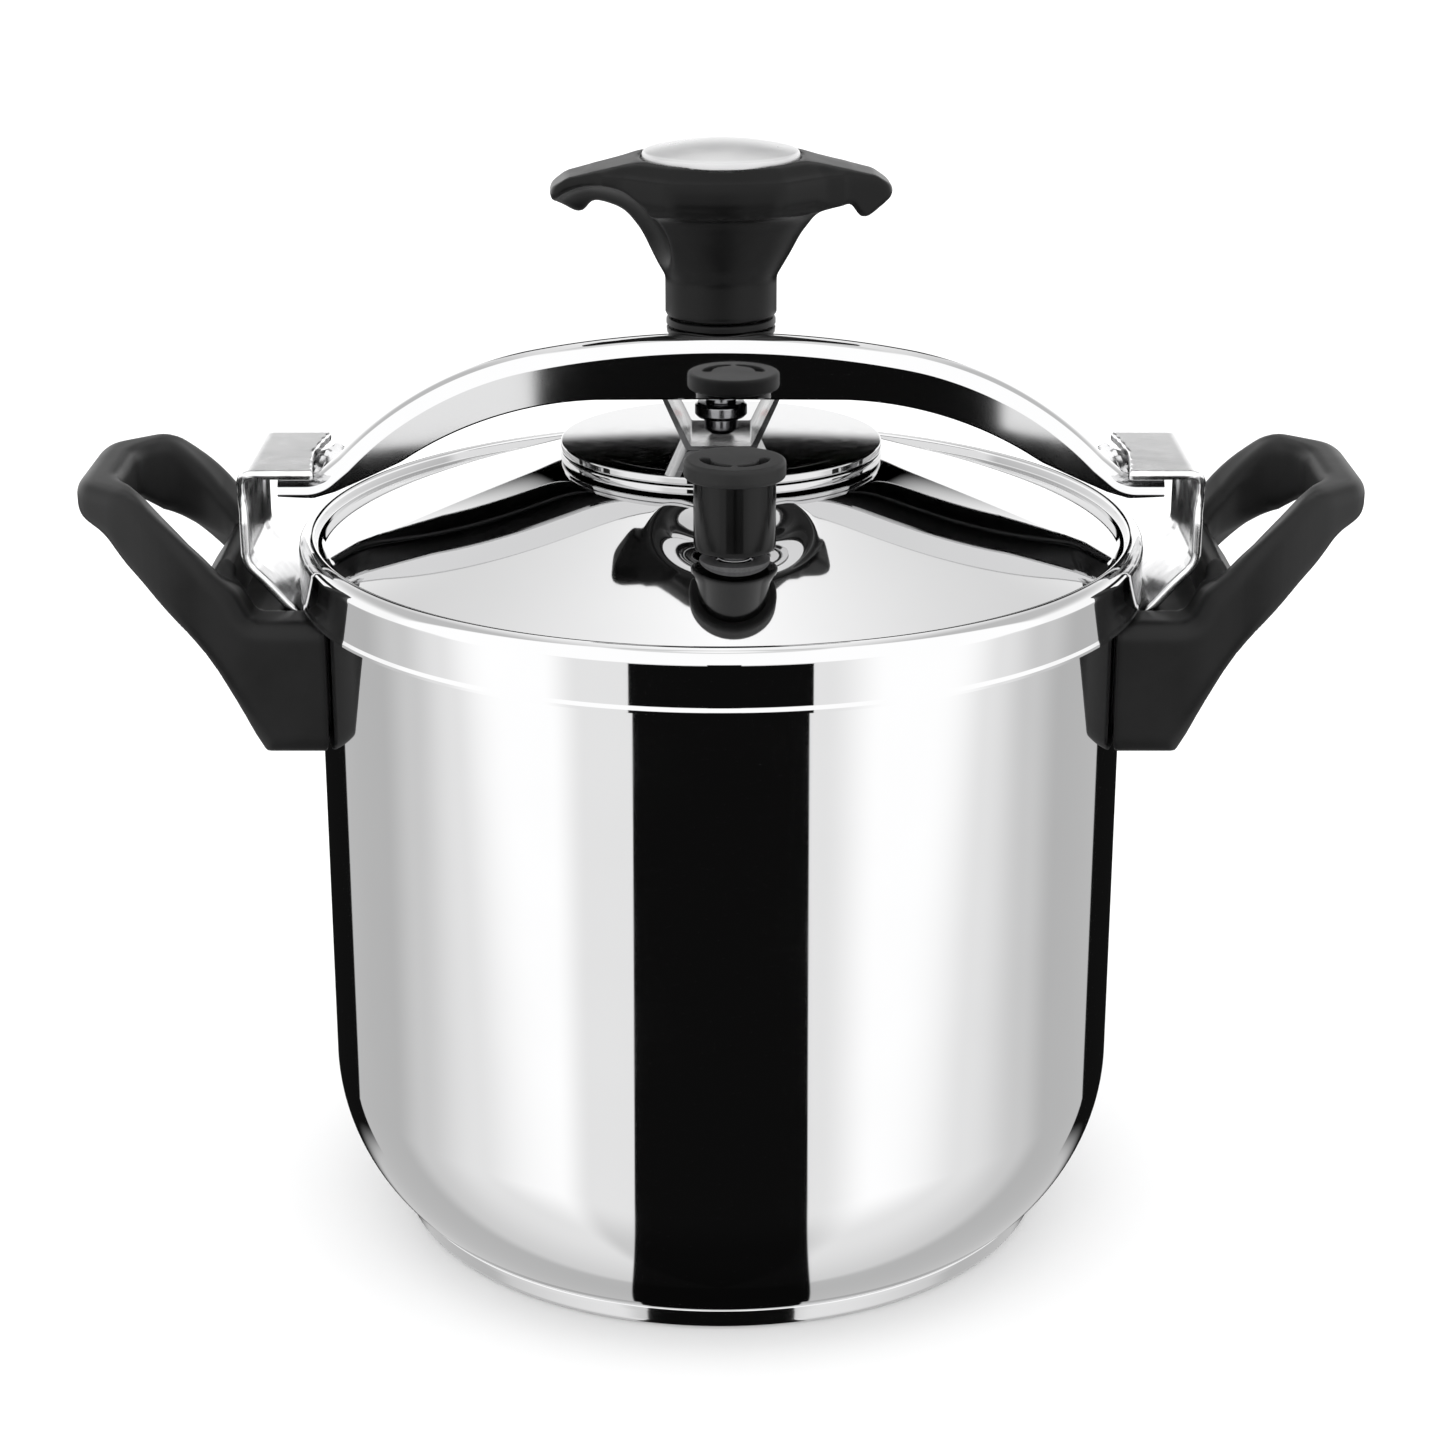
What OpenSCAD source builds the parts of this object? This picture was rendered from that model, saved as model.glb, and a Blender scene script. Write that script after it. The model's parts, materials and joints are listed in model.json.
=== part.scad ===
// Stovetop pressure cooker with a screw-down bridge over its lid.
// Millimetres, +Z up. The origin is the centre of the base's underside, +X runs along the
// bridge to the right handle, and -Y points to the pressure regulator.

/* [Pot] */
// Outer radius of the pot's wall
pot_r = 111; // [110.5:0.1:111.2]
// Thickness of the pot's sheet steel
pot_wall = 0.8; // [0.6:0.1:1]
// Height of the top of the pot's straight wall
wall_top = 190.5; // [189:0.5:190.5]
// Radius of the big rounded corner at the bottom of the wall
corner_r = 55; // [50:1:58]
// Height of that corner's centre
corner_z = 46.8; // [46.8:0.1:47.5]
// Height of the base's encapsulated disc
base_h = 7; // [6.5:0.1:7]

/* [Lid] */
// Outer radius of the lid's rim band
lid_r = 115.3; // [115.3:0.1:115.6]
// Thickness of the lid's sheet steel
lid_wall = 0.8; // [0.7:0.1:1]
// Height of the rim band's lower edge
skirt_z = 183; // [183:0.5:186]
// Height of the rim band's top
rim_z = 199.6; // [199.4:0.1:200]
// Radius of the spherical dome
dome_r = 275; // [270:1:280]
// Height of the dome's highest point
dome_top = 218.4; // [218.2:0.1:218.4]
// Radius of the two load discs
disc_r = 43.8; // [40:0.2:45]
// Thickness of each load disc
disc_t = 2.2; // [1.4:0.1:2.2]

/* [Bridge] */
// Width of the bridge's channel
bridge_w = 34; // [30:0.5:36]
// Thickness of the bridge's steel
bridge_wall = 2; // [1.6:0.1:2.2]
// Height of the top of the arch
bridge_top = 255.2; // [255:0.1:255.4]
// Distance from the axis to the end of each hook
bridge_reach = 119.5; // [118:0.5:120]
// Height of the hooks' upper face
hook_z = 216.4; // [216:0.1:216.4]

/* [Brackets] */
// Width of each bracket
bracket_w = 44; // [40:1:44]
// Thickness of the brackets' steel
bracket_t = 2.5; // [2:0.1:2.6]
// Distance from the axis to a bracket's outer face
bracket_reach = 130.3; // [130:0.1:131]
// Height of a bracket's upper face
bracket_top = 219.5; // [219.5:0.1:220]

/* [Handles] */
// Distance from the axis to a handle's outermost edge
handle_reach = 175; // [172:0.5:178]
// Height of a handle's mounting block
block_z = [144, 181]; // [140:1:182]
// Half the angle that a saddle wraps round the wall
saddle_angle = 17.5; // [16:0.5:18]

/* [Knob] */
// Distance from the axis to a wing's tip
knob_reach = 44.3; // [42:0.1:46]
// Radius of the knob's stem
stem_r = 15; // [14:0.1:15.5]
// Height of the stem's lower end
stem_z = 257.5; // [257.4:0.1:258]
// Height of the top of the knob's steel cap
knob_top = 304.1; // [303:0.1:305]
// Turn of the knob's wings from the bridge's line at rest, in degrees
knob_angle = 3; // [0:1:10]

/* [Valves] */
// Place of the pressure regulator's axis
regulator_xy = [3.5, -66]; // [-70:0.5:10]
// Place of the safety valve's axis
safety_xy = [0, 64]; // [-5:0.5:66]
// Height of the top of the regulator's cap
regulator_top = 234.5; // [234:0.1:236]

/* [Hidden] */
$fn = 96;
// Gap left between pieces of different bodies
gap = 0.3;
// Clearance of a shaft that runs in its bore
run_fit = 0.05;
// Overshoot of a cutting shape past the face it cuts
cut = 1;
// Steps in each rounded corner
arc_steps = 8;

// Pot: the corner's large arc ends at knuckle_a, where a small arc turns into the floor
knuckle_a = -46.3;
knuckle_r = 5.4;
corner_x = pot_r - corner_r;
knuckle_x = corner_x + (corner_r - knuckle_r) * cos(knuckle_a);
knuckle_z = corner_z + (corner_r - knuckle_r) * sin(knuckle_a);
floor_z = knuckle_z - knuckle_r;
bead_r = 1.7;
base_wall = 0.5;
base_r = corner_x + corner_r * cos(knuckle_a) - 0.2;

// Lid: the dome meets the rim's groove at groove_r
dome_z = dome_top - dome_r;
groove_r = 110.2;
seat_r = 14.5;
seat_z = 209.2;
safety_seat_r = 10;
safety_seat_z = 210.6;
hole_r = 5;
disc_z = dome_top + 0.1;
disc_gap = 0.4;
upper_disc_z = disc_z + disc_t + disc_gap;
disc_top = upper_disc_z + disc_t;
trough_w = 29;
trough_t = 1.2;
foot_z = disc_top + trough_t + gap;
neck_z = foot_z + 10.4;

// Bridge: a flat crown arc, then a tighter shoulder arc on each side
crown_r = 268;
crown_x = 50;
shoulder_r = 100;
crown_a = asin(crown_x / crown_r);
crown_z = bridge_top - crown_r;
shoulder_x = crown_x - shoulder_r * sin(crown_a);
shoulder_z = crown_z + (crown_r - shoulder_r) * cos(crown_a);
shoulder_end = 47;
belly_r = 100;
belly_x = 30;
belly_z = 137.8;
bush_z = 241;
bush_r = 9;
spindle_r = 5.95;
collar_h = 1.9;

// Brackets: the diagonal runs at 45 degrees under the lid's lip
diagonal_x = bracket_reach - 193.2;
bracket_inner = 112.4;
foot_r = pot_r + 0.05;
bracket_foot_z = 148;

// Handles
saddle_r = pot_r + 0.8;
handle_in_r = saddle_r + 0.05;
stud_z = 160;
stud_r = 4;
stud_end = 121;
screw_r = 2.5;
washer_x = 124.2;
washer_t = 0.8;

// Knob
knob_root_r = 24;
knob_root_z = 299.8;
cap_r = 21;
cap_edge_z = 301.4;
cap_t = 0.8;
insert_z = [262, 276];

// Regulator
pipe_r = 3.75;
pipe_bore_r = 1.6;
pipe_top = 223;
regulator_r = 10.5;
regulator_cap_r = 13;
regulator_cap_h = 4.8;
regulator_bottom = 211;
weight_r = 8.3;
needle_r = 3;
needle_top = 227.5;

// Safety valve
pin_r = 2.5;
housing_r = 6.4;
housing_top = 221;
spring_r = 4.2;
spring_wire = 0.6;
spring_turns = 5;
spring_z = [213.2, 219.2];

// ---- Outline helpers ----

// Unit vector from a towards b
function unit(a, b) = (b - a) / norm(b - a);

// Angle t brought into the range -180 to 180
function wrapped(t) = t > 180 ? t - 360 : t < -180 ? t + 360 : t;

// Points of an arc round [cx, cy]
function arc(cx, cy, r, a0, a1, steps) =
    [for (i = [0:steps]) let (a = a0 + (a1 - a0) * i / steps) [cx + r * cos(a), cy + r * sin(a)]];

// Points that round the corner at b, between its neighbours a and c, to radius r
function corner(a, b, c, r) =
    r <= 0 ? [b] :
    let (u = unit(b, a), v = unit(b, c), half = acos(u * v) / 2)
    let (centre = b + unit([0, 0], u + v) * r / sin(half))
    let (p = b + u * r / tan(half) - centre, q = b + v * r / tan(half) - centre)
    let (a0 = atan2(p[1], p[0]), turn = wrapped(atan2(q[1], q[0]) - a0))
    arc(centre[0], centre[1], r, a0, a0 + turn, arc_steps);

// Outline through points [x, y, radius], with each corner rounded to its radius
function rounded(points) = let (n = len(points), xy = [for (p = points) [p[0], p[1]]])
    [for (i = [0:n - 1]) each corner(xy[(i + n - 1) % n], xy[i], xy[(i + 1) % n], points[i][2])];

// Outline points reversed and mirrored in X
function mirrored(points) = [for (i = [len(points) - 1:-1:0]) [-points[i][0], points[i][1]]];

// ---- Shape helpers ----

module ring(r_out, r_in, z0, z1) {
    translate([0, 0, z0])
        difference() {
            cylinder(r = r_out, h = z1 - z0);
            translate([0, 0, -cut]) cylinder(r = r_in, h = z1 - z0 + 2 * cut);
        }
}

// A plate with the outline points in X and Z, width wide along Y
module side_plate(points, width) {
    translate([0, width / 2, 0])
        rotate([90, 0, 0]) linear_extrude(height = width) polygon(points);
}

// A plate with the outline points in X and Y, from z0 to z1
module plan_plate(points, z0, z1) {
    translate([0, 0, z0]) linear_extrude(height = z1 - z0) polygon(points);
}

module hex_nut(across, r_in, z0, z1) {
    difference() {
        translate([0, 0, z0]) cylinder(r = across / sqrt(3), h = z1 - z0, $fn = 6);
        translate([0, 0, z0 - cut]) cylinder(r = r_in, h = z1 - z0 + 2 * cut);
    }
}

// Places its children on the left side as well
module both_sides() {
    children();
    mirror([1, 0, 0]) children();
}

// ---- Pot ----

// Half section of the pot's outer skin, moved inwards by inset
function pot_skin(inset) = concat(
    [[0, floor_z + inset]],
    arc(knuckle_x, knuckle_z, knuckle_r - inset, -90, knuckle_a, arc_steps),
    arc(corner_x, corner_z, corner_r - inset, knuckle_a, 0, 3 * arc_steps),
    [[pot_r - inset, wall_top]]);

module pot_solid(inset) {
    rotate_extrude() polygon(concat(pot_skin(inset), [[0, wall_top]]));
}

module pot_shell() {
    inner = pot_skin(pot_wall);
    reversed = [for (i = [len(inner) - 1:-1:0]) inner[i]];
    color("silver")
        rotate_extrude()
            union() {
                polygon(concat(pot_skin(0), reversed));
                translate([pot_r - pot_wall + bead_r, wall_top]) circle(r = bead_r);
            }
}

module base_core() {
    color("gainsboro")
        translate([0, 0, base_wall + 0.05])
            cylinder(r = knuckle_x, h = floor_z - base_wall - 0.1);
}

module base_shell() {
    outer = rounded([[0, 0, 0], [base_r - 1.6, 0, 2.5], [base_r, base_h - 0.2, 0], [0, base_h - 0.2, 0]]);
    color("silver")
        difference() {
            rotate_extrude() polygon(outer);
            translate([0, 0, base_wall]) cylinder(r = base_r - 2.2, h = base_h);
            pot_solid(-0.02);
        }
}

// ---- Brackets ----

// Side outline of a bracket: flange, upright and diagonal
function bracket_outline() = rounded([
    [bracket_inner, bracket_top, 0.8],
    [bracket_reach, bracket_top, 3.5],
    [bracket_reach, bracket_reach - diagonal_x, 7],
    [107, 107 - diagonal_x, 0],
    [107, 107 - diagonal_x + bracket_t * sqrt(2), 0],
    [bracket_reach - bracket_t, bracket_reach - diagonal_x + bracket_t * (sqrt(2) - 1), 4.5],
    [bracket_reach - bracket_t, bracket_top - bracket_t, 1],
    [bracket_inner, bracket_top - bracket_t, 0.8]]);

module bracket() {
    half = bracket_w / 2;
    color("lightgray")
        difference() {
            union() {
                side_plate(bracket_outline(), bracket_w);
                intersection() {
                    ring(pot_r + bracket_t, pot_r, bracket_foot_z, 177);
                    rotate([90, 0, 90])
                        linear_extrude(height = 2 * pot_r)
                            polygon(rounded([
                                [-half, bracket_foot_z, 8], [half, bracket_foot_z, 8],
                                [half, 178, 0], [-half, 178, 0]]));
                }
            }
            cylinder(r = foot_r, h = 2 * bracket_top);
            // Corners of the flange rounded in plan
            for (side = [-1, 1])
                translate([bracket_reach, side * half, bracket_top - 12])
                    rotate([0, 0, 45]) translate([-3, -3, 0]) cube([6, 6, 30]);
            translate([pot_r, 0, stud_z]) rotate([0, 90, 0])
                cylinder(r = stud_r + 0.1, h = 20, center = true);
        }
}

module right_bracket() { bracket(); }
module left_bracket() { mirror([1, 0, 0]) bracket(); }

// ---- Handles ----

// Side outline of a handle: block, rising arms and outer bar
function handle_side() = rounded([
    [104, block_z[0], 0],
    [124, block_z[0], 3],
    [139, 174, 40],
    [167, 205, 6],
    [handle_reach, 208, 4],
    [handle_reach, 216.8, 3.5],
    [156, 216.8, 8],
    [129, 187, 12],
    [125, block_z[1], 3],
    [104, block_z[1], 0]]);

// Plan outline of a handle
function handle_plan() = rounded([
    [100, -36.2, 0], [127, -36.2, 20], [148, -43, 30], [166, -42, 12], [handle_reach, -21, 20],
    [handle_reach, 21, 20], [166, 42, 12], [148, 43, 30], [127, 36.2, 20], [100, 36.2, 0]]);

// Plan outline of a handle's finger opening
function handle_opening() = rounded([
    [128, -23, 4], [156, -29.5, 9], [163, -17, 12], [163, 17, 12], [156, 29.5, 9], [128, 23, 4]]);

// Side outline of the opening: its inner end leans with the web that joins the arms
function opening_side() = [[133.6, 197], [150, 172], [190, 172], [190, 240], [133.6, 240]];

module handle() {
    notch = bracket_w / 2 + 0.4;
    color([0.08, 0.08, 0.08])
        difference() {
            intersection() {
                side_plate(handle_side(), 90);
                plan_plate(handle_plan(), 130, 230);
            }
            intersection() {
                plan_plate(handle_opening(), 130, 230);
                side_plate(opening_side(), 90);
            }
            cylinder(r = handle_in_r, h = 240);
            // Pocket for the bracket's foot
            intersection() {
                ring(pot_r + bracket_t + 0.2, pot_r, bracket_foot_z - gap, block_z[1] + cut);
                translate([0, -notch, 0]) cube([200, 2 * notch, 200]);
            }
            // Room for the bracket: its diagonal, and its upright above the block
            side_plate([[100, 100 - diagonal_x - 1], [140, 140 - diagonal_x - 1], [100, 240]], 2 * notch);
            side_plate([[100, block_z[1]], [bracket_reach + 0.8, block_z[1]],
                        [bracket_reach + 0.8, 240], [100, 240]], 2 * notch);
            // Stud bore, screw bore and counterbore
            translate([pot_r, 0, stud_z]) rotate([0, 90, 0]) cylinder(r = stud_r + 0.1, h = stud_end + 0.2 - pot_r);
            translate([pot_r, 0, stud_z]) rotate([0, 90, 0]) cylinder(r = screw_r + 0.2, h = 40);
            translate([washer_x, 0, stud_z]) rotate([0, 90, 0]) cylinder(r = 5.4, h = 30);
        }
}

module right_handle() { handle(); }
module left_handle() { mirror([1, 0, 0]) handle(); }

module saddle() {
    notch = bracket_w / 2 + gap;
    half = saddle_r * sin(saddle_angle);
    color([0.06, 0.06, 0.06])
        difference() {
            intersection() {
                ring(saddle_r, foot_r, block_z[0] + 1, block_z[1]);
                rotate([90, 0, 90])
                    linear_extrude(height = 2 * pot_r)
                        polygon(rounded([
                            [-half, block_z[0] + 1, 9], [half, block_z[0] + 1, 9],
                            [half, block_z[1], 2], [-half, block_z[1], 2]]));
            }
            // Pocket for the bracket's foot
            intersection() {
                ring(pot_r + bracket_t + 0.1, pot_r - 1, bracket_foot_z - gap, 190);
                translate([0, -notch, 0]) cube([200, 2 * notch, 200]);
            }
            translate([0, -notch, 174]) cube([200, 2 * notch, 20]);
            translate([pot_r, 0, stud_z]) rotate([0, 90, 0])
                cylinder(r = stud_r + 0.1, h = 20, center = true);
        }
}

module right_saddle() { saddle(); }
module left_saddle() { mirror([1, 0, 0]) saddle(); }

module handle_studs() {
    color("gray")
        both_sides()
            difference() {
                translate([pot_r + 0.02, 0, stud_z]) rotate([0, 90, 0]) cylinder(r = stud_r, h = stud_end - pot_r);
                pot_solid(-0.02);
                translate([stud_end - 7.5, 0, stud_z]) rotate([0, 90, 0]) cylinder(r = screw_r, h = 20);
            }
}

module handle_screws() {
    head_x = washer_x + washer_t;
    color("silver")
        both_sides()
            translate([0, 0, stud_z]) rotate([0, 90, 0])
                difference() {
                    union() {
                        translate([0, 0, stud_end - 6.5]) cylinder(r = screw_r, h = head_x - stud_end + 7);
                        translate([0, 0, head_x]) cylinder(r = 4.6, h = 2.6);
                    }
                    for (turn = [0, 90])
                        rotate([0, 0, turn])
                            translate([-2.6, -0.5, head_x + 1.2]) cube([5.2, 1, 4]);
                }
}

module handle_washers() {
    color("silver")
        both_sides()
            translate([washer_x, 0, stud_z]) rotate([0, 90, 0]) ring(5.2, screw_r + 0.1, 0, washer_t);
}

// ---- Lid ----

// Height of the dome's outer surface at radius r
function dome_height(r) = dome_z + sqrt(dome_r * dome_r - r * r);

// Half section of the lid's sheet
function lid_outline() = let (w = lid_wall, g = groove_r)
    let (rim_out = rounded([
        [lid_r + 0.6, skirt_z, 0], [lid_r + 0.6, skirt_z + 0.8, 0.3], [lid_r, skirt_z + 1.6, 0.3],
        [lid_r, rim_z, 3.6], [g + 0.9, rim_z, 1.2], [g + 0.5, dome_height(g) + 0.4, 0],
        [g - 0.4, dome_height(g - 0.4), 0]]))
    let (rim_in = rounded([
        [g - 0.4, dome_height(g - 0.4) - w, 0], [g + 1.2, dome_height(g) - w, 0],
        [g + 1.7, rim_z - w, 0.5], [lid_r - w, rim_z - w, 2.8],
        [lid_r - w, skirt_z + 1.6, 0.3], [lid_r + 0.6 - w, skirt_z + 0.8, 0.3], [lid_r + 0.6 - w, skirt_z, 0]]))
    concat(rim_out, rim_in);

module dome_solid(inset) {
    intersection() {
        translate([0, 0, dome_z]) sphere(r = dome_r - inset);
        translate([0, 0, dome_height(groove_r) - 1.2]) cylinder(r = groove_r - 0.2, h = 40);
    }
}

// A round flat seat pressed into the dome for a valve, one sheet thick
module valve_seat(xy, r, z) {
    translate([xy[0], xy[1], z - lid_wall]) cylinder(r = r, h = lid_wall);
    intersection() {
        translate([xy[0], xy[1], 0]) ring(r, r - lid_wall, 195, 230);
        union() {
            difference() {
                translate([0, 0, 190]) cylinder(r = 100, h = z - 190);
                dome_solid(lid_wall);
            }
            difference() {
                dome_solid(0);
                translate([0, 0, 190]) cylinder(r = 100, h = z - lid_wall - 190);
            }
        }
    }
}

module valve_hole(xy, r) {
    translate([xy[0], xy[1], 190]) cylinder(r = r, h = 50);
}

module lid_shell() {
    color("silver")
        difference() {
            union() {
                rotate_extrude() polygon(lid_outline());
                difference() {
                    dome_solid(0);
                    dome_solid(lid_wall);
                    translate([0, 0, 180]) cylinder(r = groove_r - 2, h = dome_height(groove_r - 2) - 180 - lid_wall);
                    valve_hole(regulator_xy, seat_r - lid_wall);
                    valve_hole(safety_xy, safety_seat_r - lid_wall);
                }
                valve_seat(regulator_xy, seat_r, seat_z);
                valve_seat(safety_xy, safety_seat_r, safety_seat_z);
            }
            valve_hole(regulator_xy, hole_r);
            valve_hole(safety_xy, hole_r);
        }
}

module gasket() {
    low = wall_top + bead_r + gap;
    r = lid_r - lid_wall - 0.3;
    color([0.15, 0.15, 0.15])
        rotate_extrude()
            polygon(rounded([
                [104, low, 0.8], [r, low, 0.4], [r, rim_z - 3.6, 1.2], [groove_r + 3, rim_z - 1.5, 0.3],
                [groove_r + 2.4, rim_z - 1.5, 0.2], [groove_r + 2.2, low + 1.8, 0.4], [104, low + 1.6, 0.7]]));
}

module lower_disc() {
    color("silver") {
        ring(disc_r, 4, disc_z, disc_z + disc_t);
        ring(12, 4, disc_z + disc_t - 0.1, upper_disc_z);
    }
}

module upper_disc() {
    color("silver") translate([0, 0, upper_disc_z]) cylinder(r = disc_r, h = disc_t);
}

module guide_trough() {
    floor_w = 9.4;
    top_x = 18.4;
    side_z = 243;
    t = trough_t;
    color("silver")
        side_plate(rounded([
            [-floor_w, disc_top, 1.4], [floor_w, disc_top, 1.4], [top_x, side_z, 0.3], [top_x - t, side_z, 0.3],
            [floor_w - t, disc_top + t, 0.4], [t - floor_w, disc_top + t, 0.4],
            [t - top_x, side_z, 0.3], [-top_x, side_z, 0.3]]), trough_w);
}

// ---- Steam vent ----

module vent_pipe() {
    color("silver")
        translate([regulator_xy[0], regulator_xy[1], 0])
            difference() {
                union() {
                    translate([0, 0, 199.4]) cylinder(r = hole_r - 0.1, h = seat_z - 199.4);
                    translate([0, 0, seat_z + 0.02]) cylinder(r = 6.4, h = 0.7);
                    translate([0, 0, seat_z]) cylinder(r = pipe_r, h = pipe_top - seat_z);
                }
                translate([0, 0, 199]) cylinder(r = pipe_bore_r, h = 30);
            }
}

module vent_seal() {
    color([0.2, 0.2, 0.2])
        translate([regulator_xy[0], regulator_xy[1], 0])
            ring(9, hole_r, seat_z - lid_wall - 1.6, seat_z - lid_wall - 0.02);
}

module vent_nut() {
    top = seat_z - lid_wall - 1.62;
    color("silver")
        translate([regulator_xy[0], regulator_xy[1], 0]) hex_nut(14, hole_r, top - 4, top);
}

module regulator_needle() {
    color("gray")
        translate([regulator_xy[0], regulator_xy[1], 0])
            rotate_extrude()
                polygon([
                    [0, pipe_top - 1.4], [0.5, pipe_top - 1.4], [1.3, pipe_top + 0.1], [1.3, pipe_top + gap],
                    [needle_r, pipe_top + gap], [needle_r, needle_top], [0, needle_top]]);
}

module regulator_weight() {
    color("gray")
        translate([regulator_xy[0], regulator_xy[1], 0])
            difference() {
                translate([0, 0, regulator_bottom + 2.5]) cylinder(r = weight_r, h = 14.6);
                translate([0, 0, 200]) cylinder(r = pipe_r + 0.4, h = pipe_top + 1.6 - 200);
                translate([0, 0, 200]) cylinder(r = needle_r + run_fit, h = needle_top + gap - 200);
            }
}

module regulator_body() {
    cap_z = regulator_top - regulator_cap_h;
    color([0.04, 0.04, 0.04])
        translate([regulator_xy[0], regulator_xy[1], 0])
            difference() {
                translate([0, 0, regulator_bottom]) cylinder(r = regulator_r, h = cap_z - 0.05 - regulator_bottom);
                translate([0, 0, regulator_bottom + 2.4]) cylinder(r = weight_r + 0.05, h = 30);
                translate([0, 0, 200]) cylinder(r = pipe_r + 0.4, h = 20);
            }
}

module regulator_cap() {
    cap_z = regulator_top - regulator_cap_h;
    color([0.06, 0.06, 0.06])
        translate([regulator_xy[0], regulator_xy[1], 0])
            difference() {
                union() {
                    rotate_extrude()
                        polygon(rounded([
                            [0, cap_z, 0], [regulator_cap_r, cap_z, 0.6],
                            [regulator_cap_r, regulator_top, 1], [0, regulator_top, 0]]));
                    translate([0, 0, cap_z - 1.5]) cylinder(r = weight_r - 0.05, h = 2);
                }
                // Two curved steam slots in the front half
                intersection() {
                    ring(9, 7.2, regulator_top - 1.4, regulator_top + cut);
                    for (side = [-1, 1])
                        rotate([0, 0, 270 + side * 48])
                            translate([0, 0, regulator_top - 2])
                                linear_extrude(height = 5)
                                    polygon([[0, 0], [20, -15], [20, 15]]);
                }
            }
}

// ---- Safety valve ----

module safety_housing() {
    stem_low = 203.2;
    color("silver")
        translate([safety_xy[0], safety_xy[1], 0])
            difference() {
                union() {
                    translate([0, 0, stem_low]) cylinder(r = hole_r - 0.1, h = safety_seat_z - stem_low);
                    translate([0, 0, safety_seat_z + 0.02]) cylinder(r = 8, h = 1.8, $fn = 6);
                    translate([0, 0, safety_seat_z]) cylinder(r = housing_r, h = housing_top - safety_seat_z);
                }
                translate([0, 0, 199]) cylinder(r = pin_r + run_fit, h = 40);
                translate([0, 0, spring_z[0] - 0.4]) cylinder(r = spring_r + spring_wire + 0.2, h = 6.8);
            }
}

module safety_pin() {
    color("firebrick")
        translate([safety_xy[0], safety_xy[1], 0]) {
            translate([0, 0, 199.6]) cylinder(r = pin_r, h = housing_top + 0.8 - 199.6);
            translate([0, 0, 199.4]) cylinder(r = 4.2, h = 0.4);
        }
}

module safety_spring() {
    pitch = (spring_z[1] - spring_z[0] - 2 * spring_wire) / (spring_turns - 1);
    web = 0.4;
    color("silver")
        translate([safety_xy[0], safety_xy[1], 0])
            rotate_extrude()
                union() {
                    for (turn = [0:spring_turns - 1])
                        translate([spring_r, spring_z[0] + spring_wire + turn * pitch]) circle(r = spring_wire);
                    translate([spring_r - web / 2, spring_z[0] + spring_wire])
                        square([web, spring_z[1] - spring_z[0] - 2 * spring_wire]);
                }
}

module safety_seal() {
    color([0.2, 0.2, 0.2])
        translate([safety_xy[0], safety_xy[1], 0])
            ring(8.5, hole_r, safety_seat_z - lid_wall - 1.6, safety_seat_z - lid_wall - 0.02);
}

module safety_nut() {
    top = safety_seat_z - lid_wall - 1.62;
    color("silver")
        translate([safety_xy[0], safety_xy[1], 0]) hex_nut(14, hole_r, top - 4, top);
}

// ---- Bridge ----

// Half of the bridge's top edge, from the crown to the hook's end, lowered by drop
function arch_top(drop) = concat(
    arc(0, crown_z - drop, crown_r, 90, 90 - crown_a, arc_steps),
    arc(shoulder_x, shoulder_z - drop, shoulder_r, 90 - crown_a, 90 - shoulder_end, 2 * arc_steps),
    [[109, hook_z - drop], [bridge_reach, hook_z - drop]]);

// Half of the bridge's lower edge, from the hook's end to the middle
function arch_belly() = concat(
    [[bridge_reach, 211], [110, 210.4], [104, 212.4], [96, 216]],
    arc(belly_x, belly_z, belly_r, 56, 86, 2 * arc_steps),
    [[0, 237.9]]);

// Whole outline: half from the crown outwards and back, joined to its mirror image
function arch_outline(top_drop, belly) = let (half = concat(arch_top(top_drop), belly))
    concat(half, mirrored(half));

module bridge_arch() {
    inner = bridge_w - 2 * bridge_wall;
    below = [[bridge_reach + cut, hook_z - bridge_wall], [bridge_reach + cut, 190], [0, 190]];
    color("silver")
        difference() {
            side_plate(arch_outline(0, arch_belly()), bridge_w);
            side_plate(arch_outline(bridge_wall, below), inner);
            cylinder(r = bush_r, h = bridge_top - 0.9);
            cylinder(r = spindle_r + gap, h = 300);
        }
}

module thread_bush() {
    color("goldenrod")
        ring(bush_r - 0.02, spindle_r + run_fit, bush_z, bridge_top - 0.92);
}

module bush_collar() {
    color([0.08, 0.08, 0.08])
        ring(14.75, spindle_r + gap, bridge_top + 0.02, bridge_top + collar_h);
}

// ---- Knob and spindle ----

// Side outline of the knob's two wings, thin at the tips
function wing_side() = rounded([
    [-knob_root_r, knob_root_z, 12], [-knob_reach, 294.5, 3.2], [-knob_reach, 287, 4],
    [-33, 285.2, 3], [-22, 291, 14], [0, 293, 0], [22, 291, 14], [33, 285.2, 3],
    [knob_reach, 287, 4], [knob_reach, 294.5, 3.2], [knob_root_r, knob_root_z, 12]]);

// Half of the knob's plan, from the right wing's tip round the back to the left wing's tip
function wing_half() = [
    [knob_reach + 0.9, -6.4, 5.4], [knob_reach + 0.9, 6.4, 5.4], [27.2, 12.4, 6], [14.5, 23.3, 9],
    [0, 25.6, 30], [-14.5, 23.3, 9], [-27.2, 12.4, 6]];

// Plan outline of the knob: a round middle with two narrow wings
function wing_plan() = rounded(concat(wing_half(), [for (p = wing_half()) [-p[0], -p[1], p[2]]]));

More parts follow.
